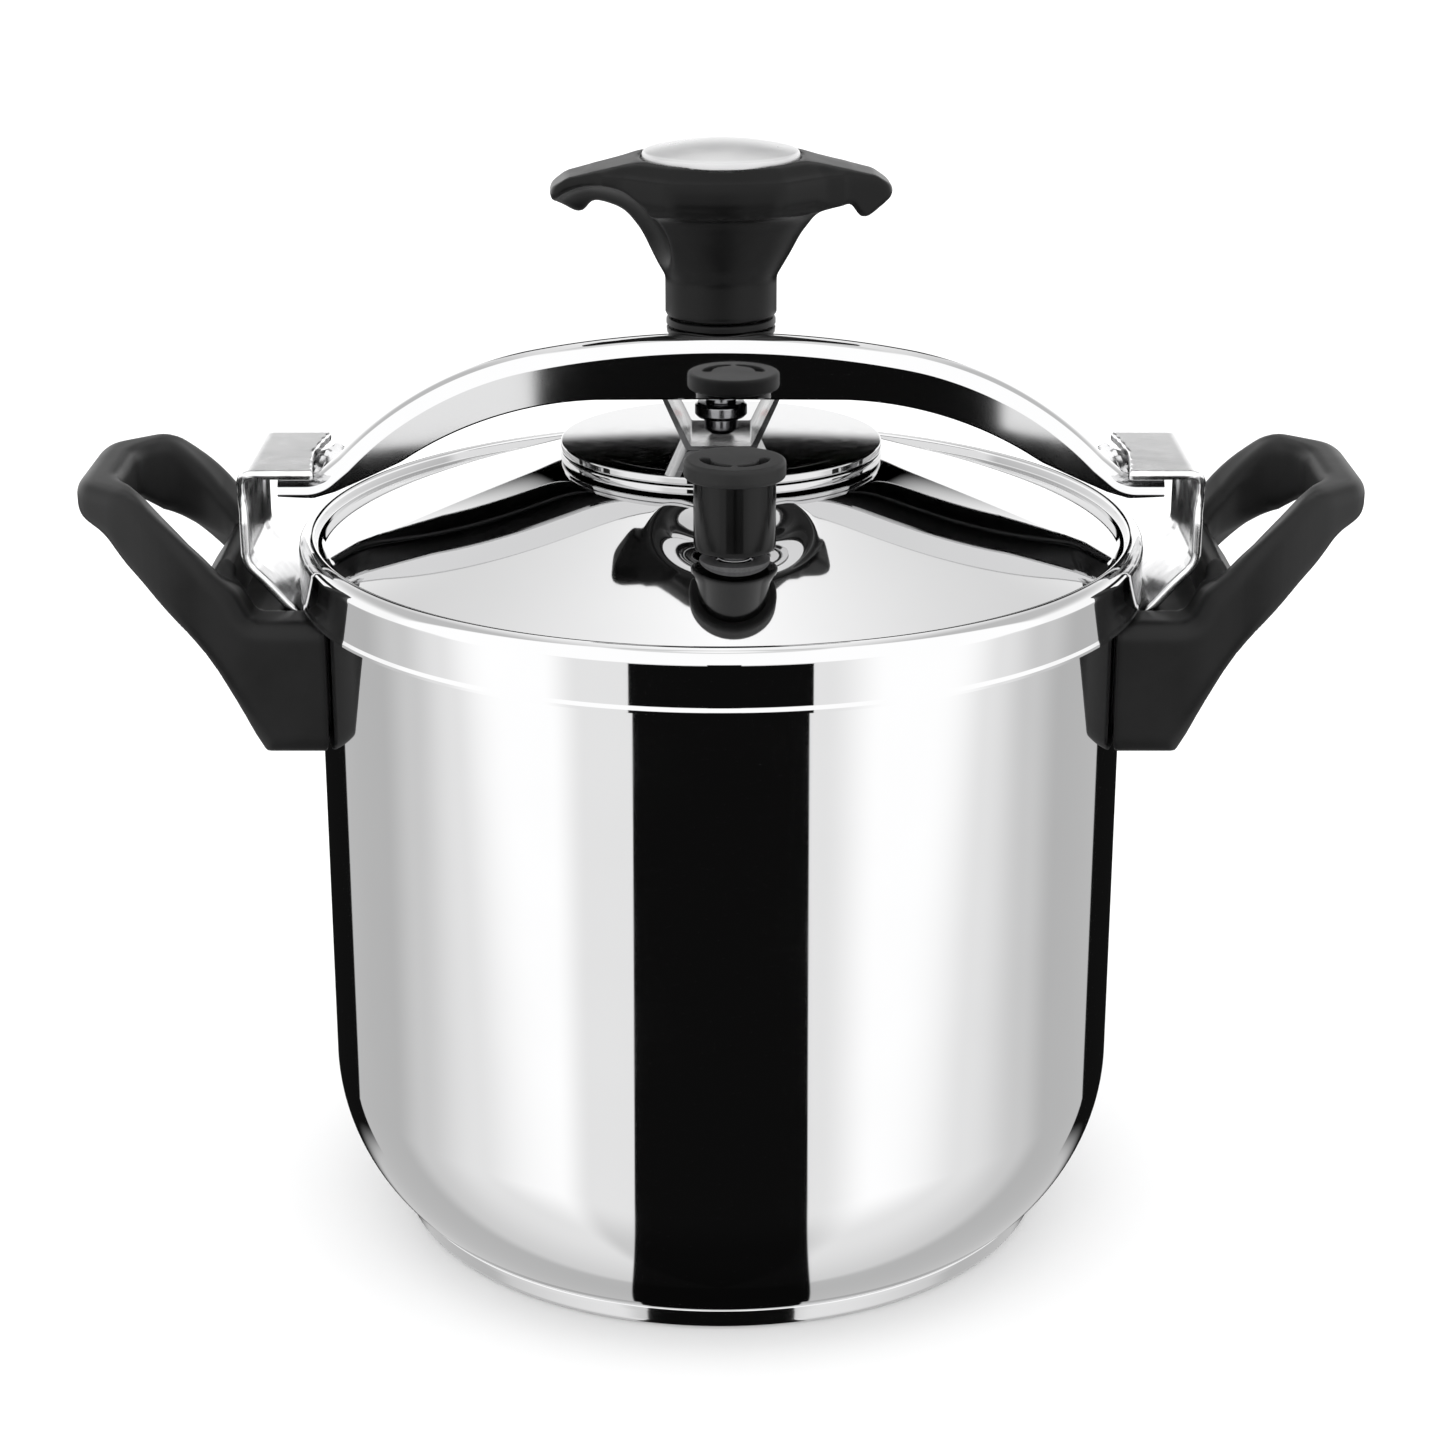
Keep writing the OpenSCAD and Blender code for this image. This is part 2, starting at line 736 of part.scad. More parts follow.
module knob_grip() {
    flare = rounded([
        [0, stem_z, 0], [stem_r, stem_z, 0.6], [stem_r, 268.4, 4], [21.8, 280.4, 14], [36, 289.6, 0],
        [36, 293, 0], [0, 293, 0]]);
    color([0.08, 0.08, 0.08])
        difference() {
            rotate([0, 0, knob_angle]) {
                intersection() {
                    side_plate(wing_side(), 60);
                    plan_plate(wing_plan(), 280, 305);
                }
                intersection() {
                    rotate_extrude() polygon(flare);
                    plan_plate(wing_plan(), 250, 305);
                }
            }
            translate([0, 0, cap_edge_z - 2.3]) cylinder(r = cap_r + 0.05, h = 10);
            translate([0, 0, stem_z - cut]) cylinder(r = spindle_r + 0.1, h = 30);
            translate([0, 0, insert_z[0]]) cylinder(r = 9.25, h = insert_z[1] - insert_z[0] + 0.05, $fn = 6);
        }
}

module knob_insert() {
    color("goldenrod") hex_nut(15.9, spindle_r, insert_z[0] + 0.05, insert_z[1]);
}

module knob_cap() {
    sag = knob_top - cap_edge_z;
    ball_r = (cap_r * cap_r + sag * sag) / (2 * sag);
    color("silver")
        intersection() {
            difference() {
                translate([0, 0, knob_top - ball_r]) sphere(r = ball_r);
                translate([0, 0, knob_top - ball_r]) sphere(r = ball_r - cap_t);
                cylinder(r = cap_r - cap_t, h = cap_edge_z - 1);
            }
            translate([0, 0, cap_edge_z - 2.2]) cylinder(r = cap_r, h = 10);
        }
    color("silver") ring(cap_r, cap_r - cap_t, cap_edge_z - 2.2, cap_edge_z - 0.2);
}

module spindle() {
    color("silver") translate([0, 0, neck_z]) cylinder(r = spindle_r, h = insert_z[1] - neck_z);
}

module spindle_foot() {
    z = foot_z;
    color("silver")
        rotate_extrude()
            polygon([[0, z], [3, z], [4.6, z + 1.4], [4.6, z + 4.4], [6.3, z + 4.7], [7.1, z + 5.5],
                     [7.1, z + 8], [6.3, z + 8.8], [4.2, z + 8.9], [4.2, neck_z], [0, neck_z]]);
}

module spindle_clip() {
    color("gray")
        difference() {
            ring(8, spindle_r + run_fit, neck_z + 0.4, neck_z + 1.3);
            translate([0, -2.5, foot_z]) cube([10, 5, 20]);
        }
}

pot_shell();
base_core();
base_shell();
left_bracket();
right_bracket();
left_handle();
right_handle();
left_saddle();
right_saddle();
handle_studs();
handle_screws();
handle_washers();
lid_shell();
gasket();
lower_disc();
upper_disc();
guide_trough();
vent_pipe();
vent_seal();
vent_nut();
safety_housing();
safety_seal();
safety_nut();
safety_spring();
safety_pin();
bridge_arch();
thread_bush();
bush_collar();
knob_grip();
knob_cap();
knob_insert();
spindle();
spindle_foot();
spindle_clip();
regulator_body();
regulator_cap();
regulator_weight();
regulator_needle();
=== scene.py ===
"""Looks of the stovetop pressure cooker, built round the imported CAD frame.

Shapes are worked out in millimetres from the CAD nodes' boxes and turned into metres when a mesh is made.
"""

import json
import math

import bpy
import numpy as np
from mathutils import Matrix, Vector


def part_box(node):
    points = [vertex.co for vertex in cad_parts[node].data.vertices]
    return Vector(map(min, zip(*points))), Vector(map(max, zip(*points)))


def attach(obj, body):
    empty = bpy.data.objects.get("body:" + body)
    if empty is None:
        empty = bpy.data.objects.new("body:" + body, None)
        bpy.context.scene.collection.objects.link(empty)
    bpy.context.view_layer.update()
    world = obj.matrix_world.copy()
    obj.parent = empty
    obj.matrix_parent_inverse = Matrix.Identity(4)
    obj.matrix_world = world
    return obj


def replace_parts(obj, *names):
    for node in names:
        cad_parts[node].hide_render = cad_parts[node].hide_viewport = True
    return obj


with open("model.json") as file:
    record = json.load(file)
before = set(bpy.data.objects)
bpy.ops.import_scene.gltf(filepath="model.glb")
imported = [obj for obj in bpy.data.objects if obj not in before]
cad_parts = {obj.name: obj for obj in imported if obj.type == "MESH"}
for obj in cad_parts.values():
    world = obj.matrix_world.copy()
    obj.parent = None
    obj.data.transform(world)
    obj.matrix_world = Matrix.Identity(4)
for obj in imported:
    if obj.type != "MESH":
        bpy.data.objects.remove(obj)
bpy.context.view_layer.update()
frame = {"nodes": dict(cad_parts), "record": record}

MM = 0.001
TURN = 2 * math.pi


# ---------------------------------------------------------------- frame sizes

def box_mm(node):
    """Lowest and highest corner of a CAD node, in millimetres."""
    low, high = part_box(node)
    return np.array(low) / MM, np.array(high) / MM


POT_HIGH = box_mm("pot_shell")[1]
LID_LOW, LID_HIGH = box_mm("lid_shell")
BASE_HIGH = box_mm("base_shell")[1]
DISC_LOW, DISC_HIGH = box_mm("upper_disc")
LOWER_DISC_LOW, LOWER_DISC_HIGH = box_mm("lower_disc")
TROUGH_LOW, TROUGH_HIGH = box_mm("guide_trough")
BRIDGE_HIGH = box_mm("bridge_arch")[1]
BRACKET_LOW, BRACKET_HIGH = box_mm("right_bracket")
HANDLE_LOW, HANDLE_HIGH = box_mm("right_handle")
SADDLE_LOW, SADDLE_HIGH = box_mm("right_saddle")
KNOB_LOW = box_mm("knob_grip")[0]
CAP_LOW, CAP_HIGH = box_mm("knob_cap")
VALVE_LOW, VALVE_HIGH = box_mm("regulator_body")
VALVE_CAP_LOW, VALVE_CAP_HIGH = box_mm("regulator_cap")
PIPE_LOW, PIPE_HIGH = box_mm("vent_pipe")
SAFETY_LOW, SAFETY_HIGH = box_mm("safety_housing")
PIN_LOW, PIN_HIGH = box_mm("safety_pin")
COLLAR_LOW, COLLAR_HIGH = box_mm("bush_collar")
FOOT_LOW, FOOT_HIGH = box_mm("spindle_foot")
SPINDLE_LOW, SPINDLE_HIGH = box_mm("spindle")

SHEET = 0.8           # thickness of the pot's and the lid's steel
POT_R = POT_HIGH[0] - 2.5
SCREW_Z = 160         # height of the stud and the screw that hold a handle
FOOT_EDGE_Z = 147.7   # lower edge of the opening for a bracket's foot
RIGHT_SIDE_X = 60     # the pieces on the right side stay beyond this
VALVE_X, VALVE_Y = (VALVE_LOW + VALVE_HIGH)[:2] / 2
SAFETY_X, SAFETY_Y = (SAFETY_LOW + SAFETY_HIGH)[:2] / 2


# ---------------------------------------------------------------- outlines

def arc(cx, cy, r, start, end, steps):
    """Points of an arc round (cx, cy), with its angles in degrees."""
    angles = np.radians(np.linspace(start, end, steps + 1))
    return [(cx + r * math.cos(a), cy + r * math.sin(a)) for a in angles]


def rounded(points, steps=8, closed=True):
    """Outline through points (x, y, radius), with each corner rounded to its radius."""
    count = len(points)
    out = []
    for i, (x, y, r) in enumerate(points):
        if r <= 0 or (not closed and i in (0, count - 1)):
            out.append((x, y))
            continue
        here = np.array((x, y), float)
        before = np.array(points[i - 1][:2], float) - here
        after = np.array(points[(i + 1) % count][:2], float) - here
        u, v = before / np.linalg.norm(before), after / np.linalg.norm(after)
        half = math.acos(max(-1, min(1, u @ v))) / 2
        middle = (u + v) / np.linalg.norm(u + v)
        centre = here + middle * r / math.sin(half)
        p, q = here + u * r / math.tan(half) - centre, here + v * r / math.tan(half) - centre
        start = math.degrees(math.atan2(p[1], p[0]))
        swing = (math.degrees(math.atan2(q[1], q[0])) - start + 180) % 360 - 180
        out += arc(centre[0], centre[1], r, start, start + swing, steps)
    return out


def held(points, closed=True, margin=0.12):
    """Adds points close to the ends of straight stretches that meet fine arcs, so that flats shade flat."""
    count = len(points)
    lengths = [math.dist(points[i], points[(i + 1) % count]) for i in range(count)]
    out = []
    for i, p in enumerate(points):
        out.append(p)
        if not closed and i == count - 1:
            break
        q, here = points[(i + 1) % count], lengths[i]
        before, after = lengths[i - 1], lengths[(i + 1) % count]
        if here > 4 * min(before, after) and here > 6 * margin:
            for t in (margin / here, 1 - margin / here):
                out.append((p[0] + (q[0] - p[0]) * t, p[1] + (q[1] - p[1]) * t))
    return out


# ---------------------------------------------------------------- meshes

def mesh_object(name, verts, faces, sharp=32):
    """A smooth mesh piece from vertices in millimetres; edges over sharp degrees stay crisp."""
    mesh = bpy.data.meshes.new(name)
    mesh.from_pydata((np.asarray(verts, float) * MM).tolist(), [], faces)
    mesh.polygons.foreach_set("use_smooth", [True] * len(mesh.polygons))
    mesh.set_sharp_from_angle(angle=math.radians(sharp))
    mesh.validate()
    if sum(face.center.dot(face.normal) * face.area for face in mesh.polygons) < 0:
        mesh.flip_normals()
    piece = bpy.data.objects.new(name, mesh)
    bpy.context.scene.collection.objects.link(piece)
    return piece


def lathe(name, profile, centre=(0, 0), steps=192, sharp=32):
    """Turns a closed outline of (radius, height) round a vertical axis. It runs counter-clockwise."""
    clean = held([p for i, p in enumerate(profile) if math.dist(p, profile[i - 1]) > 1e-6])
    verts, rings = [], []
    for r, z in clean:
        if r < 1e-6:
            rings.append([len(verts)])
            verts.append((centre[0], centre[1], z))
            continue
        rings.append(list(range(len(verts), len(verts) + steps)))
        for k in range(steps):
            a = TURN * k / steps
            verts.append((centre[0] + r * math.cos(a), centre[1] + r * math.sin(a), z))
    faces = []
    for i, ring in enumerate(rings):
        other = rings[(i + 1) % len(rings)]
        if len(ring) == 1 and len(other) == 1:
            continue
        for k in range(steps):
            n = (k + 1) % steps
            if len(ring) == 1:
                faces.append((ring[0], other[n], other[k]))
            elif len(other) == 1:
                faces.append((ring[k], ring[n], other[0]))
            else:
                faces.append((ring[k], ring[n], other[n], other[k]))
    return mesh_object(name, verts, faces, sharp)


def sweep(name, sections, sharp=32):
    """Skins a list of closed sections, each with the same number of points, and caps both ends."""
    count = len(sections[0])
    verts = [p for section in sections for p in section]
    faces = []
    for i in range(len(sections) - 1):
        for k in range(count):
            n = (k + 1) % count
            a, b = i * count, (i + 1) * count
            faces.append((a + k, a + n, b + n, b + k))
    faces.append(tuple(range(count - 1, -1, -1)))
    last = (len(sections) - 1) * count
    faces.append(tuple(range(last, last + count)))
    return mesh_object(name, verts, faces, sharp)


# ---------------------------------------------------------------- distance fields

def polygon_field(points, u, v):
    """Signed distance to a closed outline, negative inside, at the points (u, v)."""
    u, v = np.broadcast_arrays(np.asarray(u, float), np.asarray(v, float))
    nearest = np.full(u.shape, 1e18)
    inside = np.zeros(u.shape, bool)
    for i, (x1, y1) in enumerate(points):
        x0, y0 = points[i - 1]
        ex, ey = x1 - x0, y1 - y0
        length = ex * ex + ey * ey
        if length < 1e-12:
            continue
        t = np.clip(((u - x0) * ex + (v - y0) * ey) / length, 0, 1)
        nearest = np.minimum(nearest, (u - x0 - t * ex) ** 2 + (v - y0 - t * ey) ** 2)
        if abs(ey) > 1e-12:
            crosses = ((y0 > v) != (y1 > v)) & (u < ex * (v - y0) / ey + x0)
            inside ^= crosses
    distance = np.sqrt(nearest)
    return np.where(inside, -distance, distance)


def join(a, b, k):
    """Union of two fields, filleted over the length k."""
    h = np.maximum(k - np.abs(a - b), 0) / k
    return np.minimum(a, b) - h * h * k / 4


def common(a, b, k):
    """Intersection of two fields, with its edge rounded over the length k."""
    return -join(-a, -b, k)


def corner_cells(values):
    """The eight corner values of every grid cell, and each corner's offset."""
    out = []
    for i in (0, 1):
        for j in (0, 1):
            for k in (0, 1):
                part = values[i:values.shape[0] - 1 + i, j:values.shape[1] - 1 + j, k:values.shape[2] - 1 + k]
                out.append((np.array((i, j, k)), part))
    return out


def field_mesh(name, field, low, high, step, sharp=50):
    """Meshes the zero surface of field(x, y, z) inside a box, in millimetres, as a net of quads."""
    low = np.asarray(low, float) - 2 * step
    counts = np.ceil((np.asarray(high, float) + 2 * step - low) / step).astype(int) + 1
    axes = [low[i] + step * np.arange(counts[i]) for i in range(3)]
    values = field(axes[0][:, None, None], axes[1][None, :, None], axes[2][None, None, :])
    values = np.broadcast_to(values, counts)
    corners = corner_cells(values)
    total = np.zeros(tuple(counts - 1) + (3,))
    hits = np.zeros(tuple(counts - 1))
    for a in range(8):
        for b in range(a + 1, 8):
            offset_a, value_a = corners[a]
            offset_b, value_b = corners[b]
            if np.abs(offset_a - offset_b).sum() != 1:
                continue
            crossed = (value_a < 0) != (value_b < 0)
            t = np.where(crossed, value_a / np.where(crossed, value_a - value_b, 1), 0)
            place = offset_a + t[..., None] * (offset_b - offset_a)
            total += np.where(crossed[..., None], place, 0)
            hits += crossed
    used = hits > 0
    ids = -np.ones(hits.shape, int)
    ids[used] = np.arange(used.sum())
    cells = np.argwhere(used)
    verts = low + step * (cells + total[used] / hits[used][:, None])
    faces = net_faces(values < 0, ids)
    for _ in range(3):
        verts = pull_to_surface(field, verts, step)
    return mesh_object(name, verts, faces.tolist(), sharp)


def net_faces(inside, ids):
    """One quad for each grid edge that crosses the surface."""
    quads = []
    for axis in range(3):
        others = [d for d in range(3) if d != axis]
        a = np.moveaxis(inside, axis, 0)
        cells = np.moveaxis(ids, axis, 0)
        core = a[:-1, 1:-1, 1:-1], a[1:, 1:-1, 1:-1]
        crossing = core[0] != core[1]
        c00, c10 = cells[:, :-1, :-1], cells[:, 1:, :-1]
        c11, c01 = cells[:, 1:, 1:], cells[:, :-1, 1:]
        loop = np.stack([c00, c10, c11, c01], -1)[crossing]
        outward = core[0][crossing] != (others == [0, 2])
        loop[~outward] = loop[~outward][:, ::-1]
        quads.append(loop)
    return np.concatenate(quads)


def pull_to_surface(field, verts, step):
    """Moves vertices along the field's slope onto its zero surface."""
    x, y, z = verts.T
    h = 0.02
    here = field(x, y, z)
    slope = np.stack([
        field(x + h, y, z) - field(x - h, y, z),
        field(x, y + h, z) - field(x, y - h, z),
        field(x, y, z + h) - field(x, y, z - h)], -1) / (2 * h)
    size = np.maximum((slope ** 2).sum(-1), 0.2)
    shift = -here / size
    shift = np.clip(shift, -0.5 * step, 0.5 * step)
    return verts + shift[:, None] * slope


def mirrored_copy(piece, name):
    """A copy of a piece, mirrored to the other side of the object."""
    mesh = piece.data.copy()
    mesh.name = name
    flat = np.zeros(len(mesh.vertices) * 3, np.float32)
    mesh.vertices.foreach_get("co", flat)
    flat[0::3] *= -1
    mesh.vertices.foreach_set("co", flat)
    mesh.flip_normals()
    copy = bpy.data.objects.new(name, mesh)
    bpy.context.scene.collection.objects.link(copy)
    return copy


# ---------------------------------------------------------------- materials

class Shader:
    """A small builder for one procedural material."""

    def __init__(self, name, color, metallic, roughness):
        self.material = bpy.data.materials.new(name)
        self.material.use_nodes = True
        self.nodes = self.material.node_tree.nodes
        self.links = self.material.node_tree.links
        self.surface = self.nodes["Principled BSDF"]
        self.surface.inputs["Base Color"].default_value = (*color, 1)
        self.surface.inputs["Metallic"].default_value = metallic
        self.surface.inputs["Roughness"].default_value = roughness
        self.place = self.nodes.new("ShaderNodeTexCoord").outputs["Object"]
        self.height = None

    def noise(self, scale, detail=4.0, stretch=(1, 1, 1)):
        """Noise of that many cells a metre, stretched along the axes."""
        mapping = self.nodes.new("ShaderNodeMapping")
        mapping.inputs["Scale"].default_value = stretch
        self.links.new(self.place, mapping.inputs["Vector"])
        texture = self.nodes.new("ShaderNodeTexNoise")
        texture.inputs["Scale"].default_value = scale
        texture.inputs["Detail"].default_value = detail
        self.links.new(mapping.outputs["Vector"], texture.inputs["Vector"])
        return texture.outputs["Fac"]

    def rings(self, scale, distortion):
        """Turning marks: rings round the vertical axis."""
        wave = self.nodes.new("ShaderNodeTexWave")
        wave.wave_type = "RINGS"
        wave.rings_direction = "Z"
        wave.inputs["Scale"].default_value = scale
        wave.inputs["Distortion"].default_value = distortion
        wave.inputs["Detail"].default_value = 3.0
        wave.inputs["Detail Scale"].default_value = 2.0
        self.links.new(self.place, wave.inputs["Vector"])
        return wave.outputs["Fac"]

    def ramp(self, value, low, high, start, end):
        """Maps a value between start and end onto low to high."""
        node = self.nodes.new("ShaderNodeMapRange")
        node.inputs["From Min"].default_value = start
        node.inputs["From Max"].default_value = end
        node.inputs["To Min"].default_value = low
        node.inputs["To Max"].default_value = high
        self.links.new(value, node.inputs["Value"])
        return node.outputs["Result"]

    def vary_color(self, value, dark, light, start=0.3, end=0.7):
        """Base colour moves between two colours with a texture value."""
        mix = self.nodes.new("ShaderNodeMix")
        mix.data_type = "RGBA"
        mix.inputs["A"].default_value = (*dark, 1)
        mix.inputs["B"].default_value = (*light, 1)
        self.links.new(self.ramp(value, 0, 1, start, end), mix.inputs["Factor"])
        self.links.new(mix.outputs["Result"], self.surface.inputs["Base Color"])

    def vary_roughness(self, value, low, high):
        """Roughness moves from low to high with a texture value."""
        self.links.new(self.ramp(value, low, high, 0.3, 0.7), self.surface.inputs["Roughness"])

    def bump(self, value, depth_mm, strength=1.0):
        """Relief of that depth, on top of any bump made before."""
        node = self.nodes.new("ShaderNodeBump")
        node.inputs["Strength"].default_value = strength
        node.inputs["Distance"].default_value = depth_mm * MM
        self.links.new(value, node.inputs["Height"])
        if self.height is not None:
            self.links.new(self.height, node.inputs["Normal"])
        self.height = node.outputs["Normal"]
        self.links.new(self.height, self.surface.inputs["Normal"])

    def set(self, **values):
        """Sets the surface's inputs by name, with _ for each space."""
        for name, value in values.items():
            self.surface.inputs[name.replace("_", " ")].default_value = value
        return self


def mirror_steel(name, tint=(0.64, 0.64, 0.643), rough=0.03):
    """Mirror-polished stainless steel with faint polishing haze."""
    shader = Shader(name, tint, 1.0, rough)
    haze = shader.noise(38, 5)
    shader.vary_roughness(haze, rough * 0.75, rough * 1.35)
    shader.vary_color(haze, tuple(0.985 * c for c in tint), tint)
    shader.bump(shader.noise(9, 2), 0.004, 0.35)
    return shader.material


def satin_steel(name, tint, rough):
    """Turned stainless steel with fine rings."""
    shader = Shader(name, tint, 1.0, rough)
    rings = shader.rings(420, 1.5)
    shader.vary_roughness(shader.noise(260, 4), rough * 0.8, rough * 1.25)
    shader.vary_color(rings, tuple(0.94 * c for c in tint), tint, 0.0, 1.0)
    shader.bump(rings, 0.0004, 0.35)
    return shader.material


def brushed_dome(name):
    """Lacquered bright cap: a pale satin that keeps a soft gradient."""
    shader = Shader(name, (0.5, 0.5, 0.5), 0.45, 0.3)
    haze = shader.noise(90, 4)
    shader.vary_color(haze, (0.48, 0.48, 0.485), (0.52, 0.52, 0.52))
    shader.vary_roughness(haze, 0.27, 0.34)
    return shader.material


def stamped_steel(name, tint=(0.78, 0.78, 0.785)):
    """Tumbled stampings: soft mottled sheen with small scuffs."""
    shader = Shader(name, tint, 1.0, 0.2)
    mottle = shader.noise(120, 6)
    scuffs = shader.noise(700, 3, (1, 1, 0.15))
    shader.vary_color(mottle, tuple(0.8 * c for c in tint), tuple(min(1, 1.15 * c) for c in tint))
    shader.vary_roughness(mottle, 0.15, 0.27)
    shader.bump(mottle, 0.03, 0.5)
    shader.bump(scuffs, 0.006, 0.4)
    return shader.material


def turned_metal(name, tint, rough):
    """Small turned or cut metal pieces."""
    shader = Shader(name, tint, 1.0, rough)
    marks = shader.noise(900, 2, (0.1, 0.1, 1))
    shader.vary_color(marks, tuple(0.85 * c for c in tint), tint)
    shader.vary_roughness(marks, rough * 0.8, rough * 1.2)
    shader.bump(marks, 0.01, 0.4)
    return shader.material


def moulded_plastic(name, tone, rough, grain=0.02, sheen=0.2):
    """Black phenolic moulding: fine grain, slow waves and a dull sheen."""
    shader = Shader(name, (tone, tone, tone * 1.02), 0.0, rough)
    grit = shader.noise(2600, 3)
    cloud = shader.noise(55, 4)
    shader.vary_color(cloud, (tone * 0.85,) * 3, (tone * 1.25, tone * 1.25, tone * 1.28))
    shader.vary_roughness(cloud, rough * 0.9, rough * 1.12)
    shader.bump(cloud, 0.06, 0.25)
    shader.bump(grit, grain, 0.5)
    return shader.set(Specular_IOR_Level=sheen).material


def moulded_rubber(name):
    """Black sealing rubber with a fine grain."""
    shader = Shader(name, (0.05, 0.05, 0.052), 0.0, 0.6)
    grit = shader.noise(1800, 3)
    shader.vary_color(grit, (0.04, 0.04, 0.042), (0.07, 0.07, 0.072))
    shader.bump(grit, 0.03, 0.5)
    return shader.material


def painted_red(name):
    """Red signal paint on the safety valve's pin."""
    shader = Shader(name, (0.55, 0.05, 0.04), 0.0, 0.35)
    cloud = shader.noise(400, 3)
    shader.vary_color(cloud, (0.48, 0.04, 0.03), (0.6, 0.07, 0.05))
    shader.bump(cloud, 0.01, 0.4)
    return shader.material


MATERIALS = {
    "pot_steel": mirror_steel("pot_steel"),
    "lid_steel": mirror_steel("lid_steel"),
    "base_steel": mirror_steel("base_steel", rough=0.06),
    "bridge_steel": mirror_steel("bridge_steel"),
    "cap_steel": brushed_dome("cap_steel"),
    # painted shade: the trough's steel is tinted dark for the shade inside the open trough
    "trough_painted_shade": satin_steel("trough_painted_shade", (0.13, 0.13, 0.132), 0.2),
    # painted shade: near-black steel for the faces inside the bridge's channel, where shade falls
    "channel_painted_shade": satin_steel("channel_painted_shade", (0.04, 0.04, 0.041), 0.35),
    "core_aluminium": turned_metal("core_aluminium", (0.72, 0.72, 0.73), 0.4),
    "bracket_steel": stamped_steel("bracket_steel"),
    "disc_steel": satin_steel("disc_steel", (0.52, 0.52, 0.524), 0.02),
    "fastener_steel": turned_metal("fastener_steel", (0.5, 0.5, 0.51), 0.16),
    "spindle_steel": turned_metal("spindle_steel", (0.3, 0.3, 0.31), 0.2),
    "bush_brass": turned_metal("bush_brass", (0.72, 0.56, 0.28), 0.28),
    "handle_plastic": moulded_plastic("handle_plastic", 0.007, 0.42),
    "knob_plastic": moulded_plastic("knob_plastic", 0.003, 0.36, sheen=0.15),
    "valve_plastic": moulded_plastic("valve_plastic", 0.002, 0.16, 0.006),
    "valve_cap_plastic": moulded_plastic("valve_cap_plastic", 0.012, 0.5, 0.03),
    "gasket_rubber": moulded_rubber("gasket_rubber"),
    "pin_red": painted_red("pin_red"),
}


def dress(piece, slot):
    """Gives a piece the material of its record slot."""
    piece.data.materials.clear()
    piece.data.materials.append(MATERIALS[slot])
    return piece


def stand_for(piece, slot, body, *nodes):
    """Dresses a piece, rides it on its body and hides the CAD nodes that it stands for."""
    dress(piece, slot)
    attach(piece, body)
    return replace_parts(piece, *nodes)


# ---------------------------------------------------------------- pot

CORNER_R = 55
CORNER_Z = 46.8
CORNER_X = POT_R - CORNER_R
KNUCKLE_A = -46.3
KNUCKLE_R = 5.4


def pot_skin(inset):
    """Half section of the pot's outer skin, moved inwards, from the floor's middle to the wall's top."""
    a = math.radians(KNUCKLE_A)
    kx = CORNER_X + (CORNER_R - KNUCKLE_R) * math.cos(a)
    kz = CORNER_Z + (CORNER_R - KNUCKLE_R) * math.sin(a)
    floor = [(r, kz - KNUCKLE_R + inset) for r in (0, 30, 60)]
    small = arc(kx, kz, KNUCKLE_R - inset, -90, KNUCKLE_A, 10)
    large = arc(CORNER_X, CORNER_Z, CORNER_R - inset, KNUCKLE_A, 0, 40)[1:]
    wall = [(POT_R - inset, z) for z in (80, 120, 160)]
    return floor + small + large + wall


def build_pot():
    top = POT_HIGH[2]
    bead_r = 1.7
    bead_x = POT_HIGH[0] - bead_r
    bead = arc(bead_x, top - bead_r, bead_r, -150, 170, 24)
    profile = pot_skin(0) + [(POT_R, top - 3.4)] + bead + [(POT_R - SHEET, top - 3)] + pot_skin(SHEET)[::-1]
    pot = lathe("pot_body", profile, steps=256)
    stand_for(pot, "pot_steel", "pot", "pot_shell")


def build_base():
    r, top = BASE_HIGH[0], BASE_HIGH[2]
    profile = rounded([
        (0, 0, 0), (r - 5, 0, 1.0), (r - 1.6, 0.3, 2.6), (r - 0.3, top - 1.6, 0.6), (r, top - 0.3, 0.35),
        (r - 0.9, top + 0.1, 0.3), (r - 1.6, top - 1.6, 0.4), (r - 4, 1.2, 1.5), (0, 0.7, 0)], 6)
    base = lathe("base_cup", profile, steps=256)
    stand_for(base, "base_steel", "pot", "base_shell")


# ---------------------------------------------------------------- lid

DOME_TOP = LOWER_DISC_LOW[2] - 0.3
PLATEAU_R = 45.7
BEND = 4.0
CONE_SLOPE = 0.3404
GROOVE_R = 110.2
SEATS = ((VALVE_X, VALVE_Y, 208.2), (SAFETY_X, SAFETY_Y, 209.2))


def dome_height(r):
    """Height of the lid's outer skin: a level middle that bends softly into a shallow cone."""
    s = r - PLATEAU_R
    return DOME_TOP - CONE_SLOPE * (s + np.sqrt(s ** 2 + BEND ** 2)) / 2


def lid_height(x, y):
    """Height of the lid's outer surface: a dimple with a level middle is pressed in for each valve."""
    z = dome_height(np.hypot(x, y))
    for sx, sy, seat_z in SEATS:
        away = np.maximum(np.hypot(x - sx, y - sy) - 6.5, 0)
        z = join(z, seat_z + 0.03 * away ** 2, 4.5)
    return z


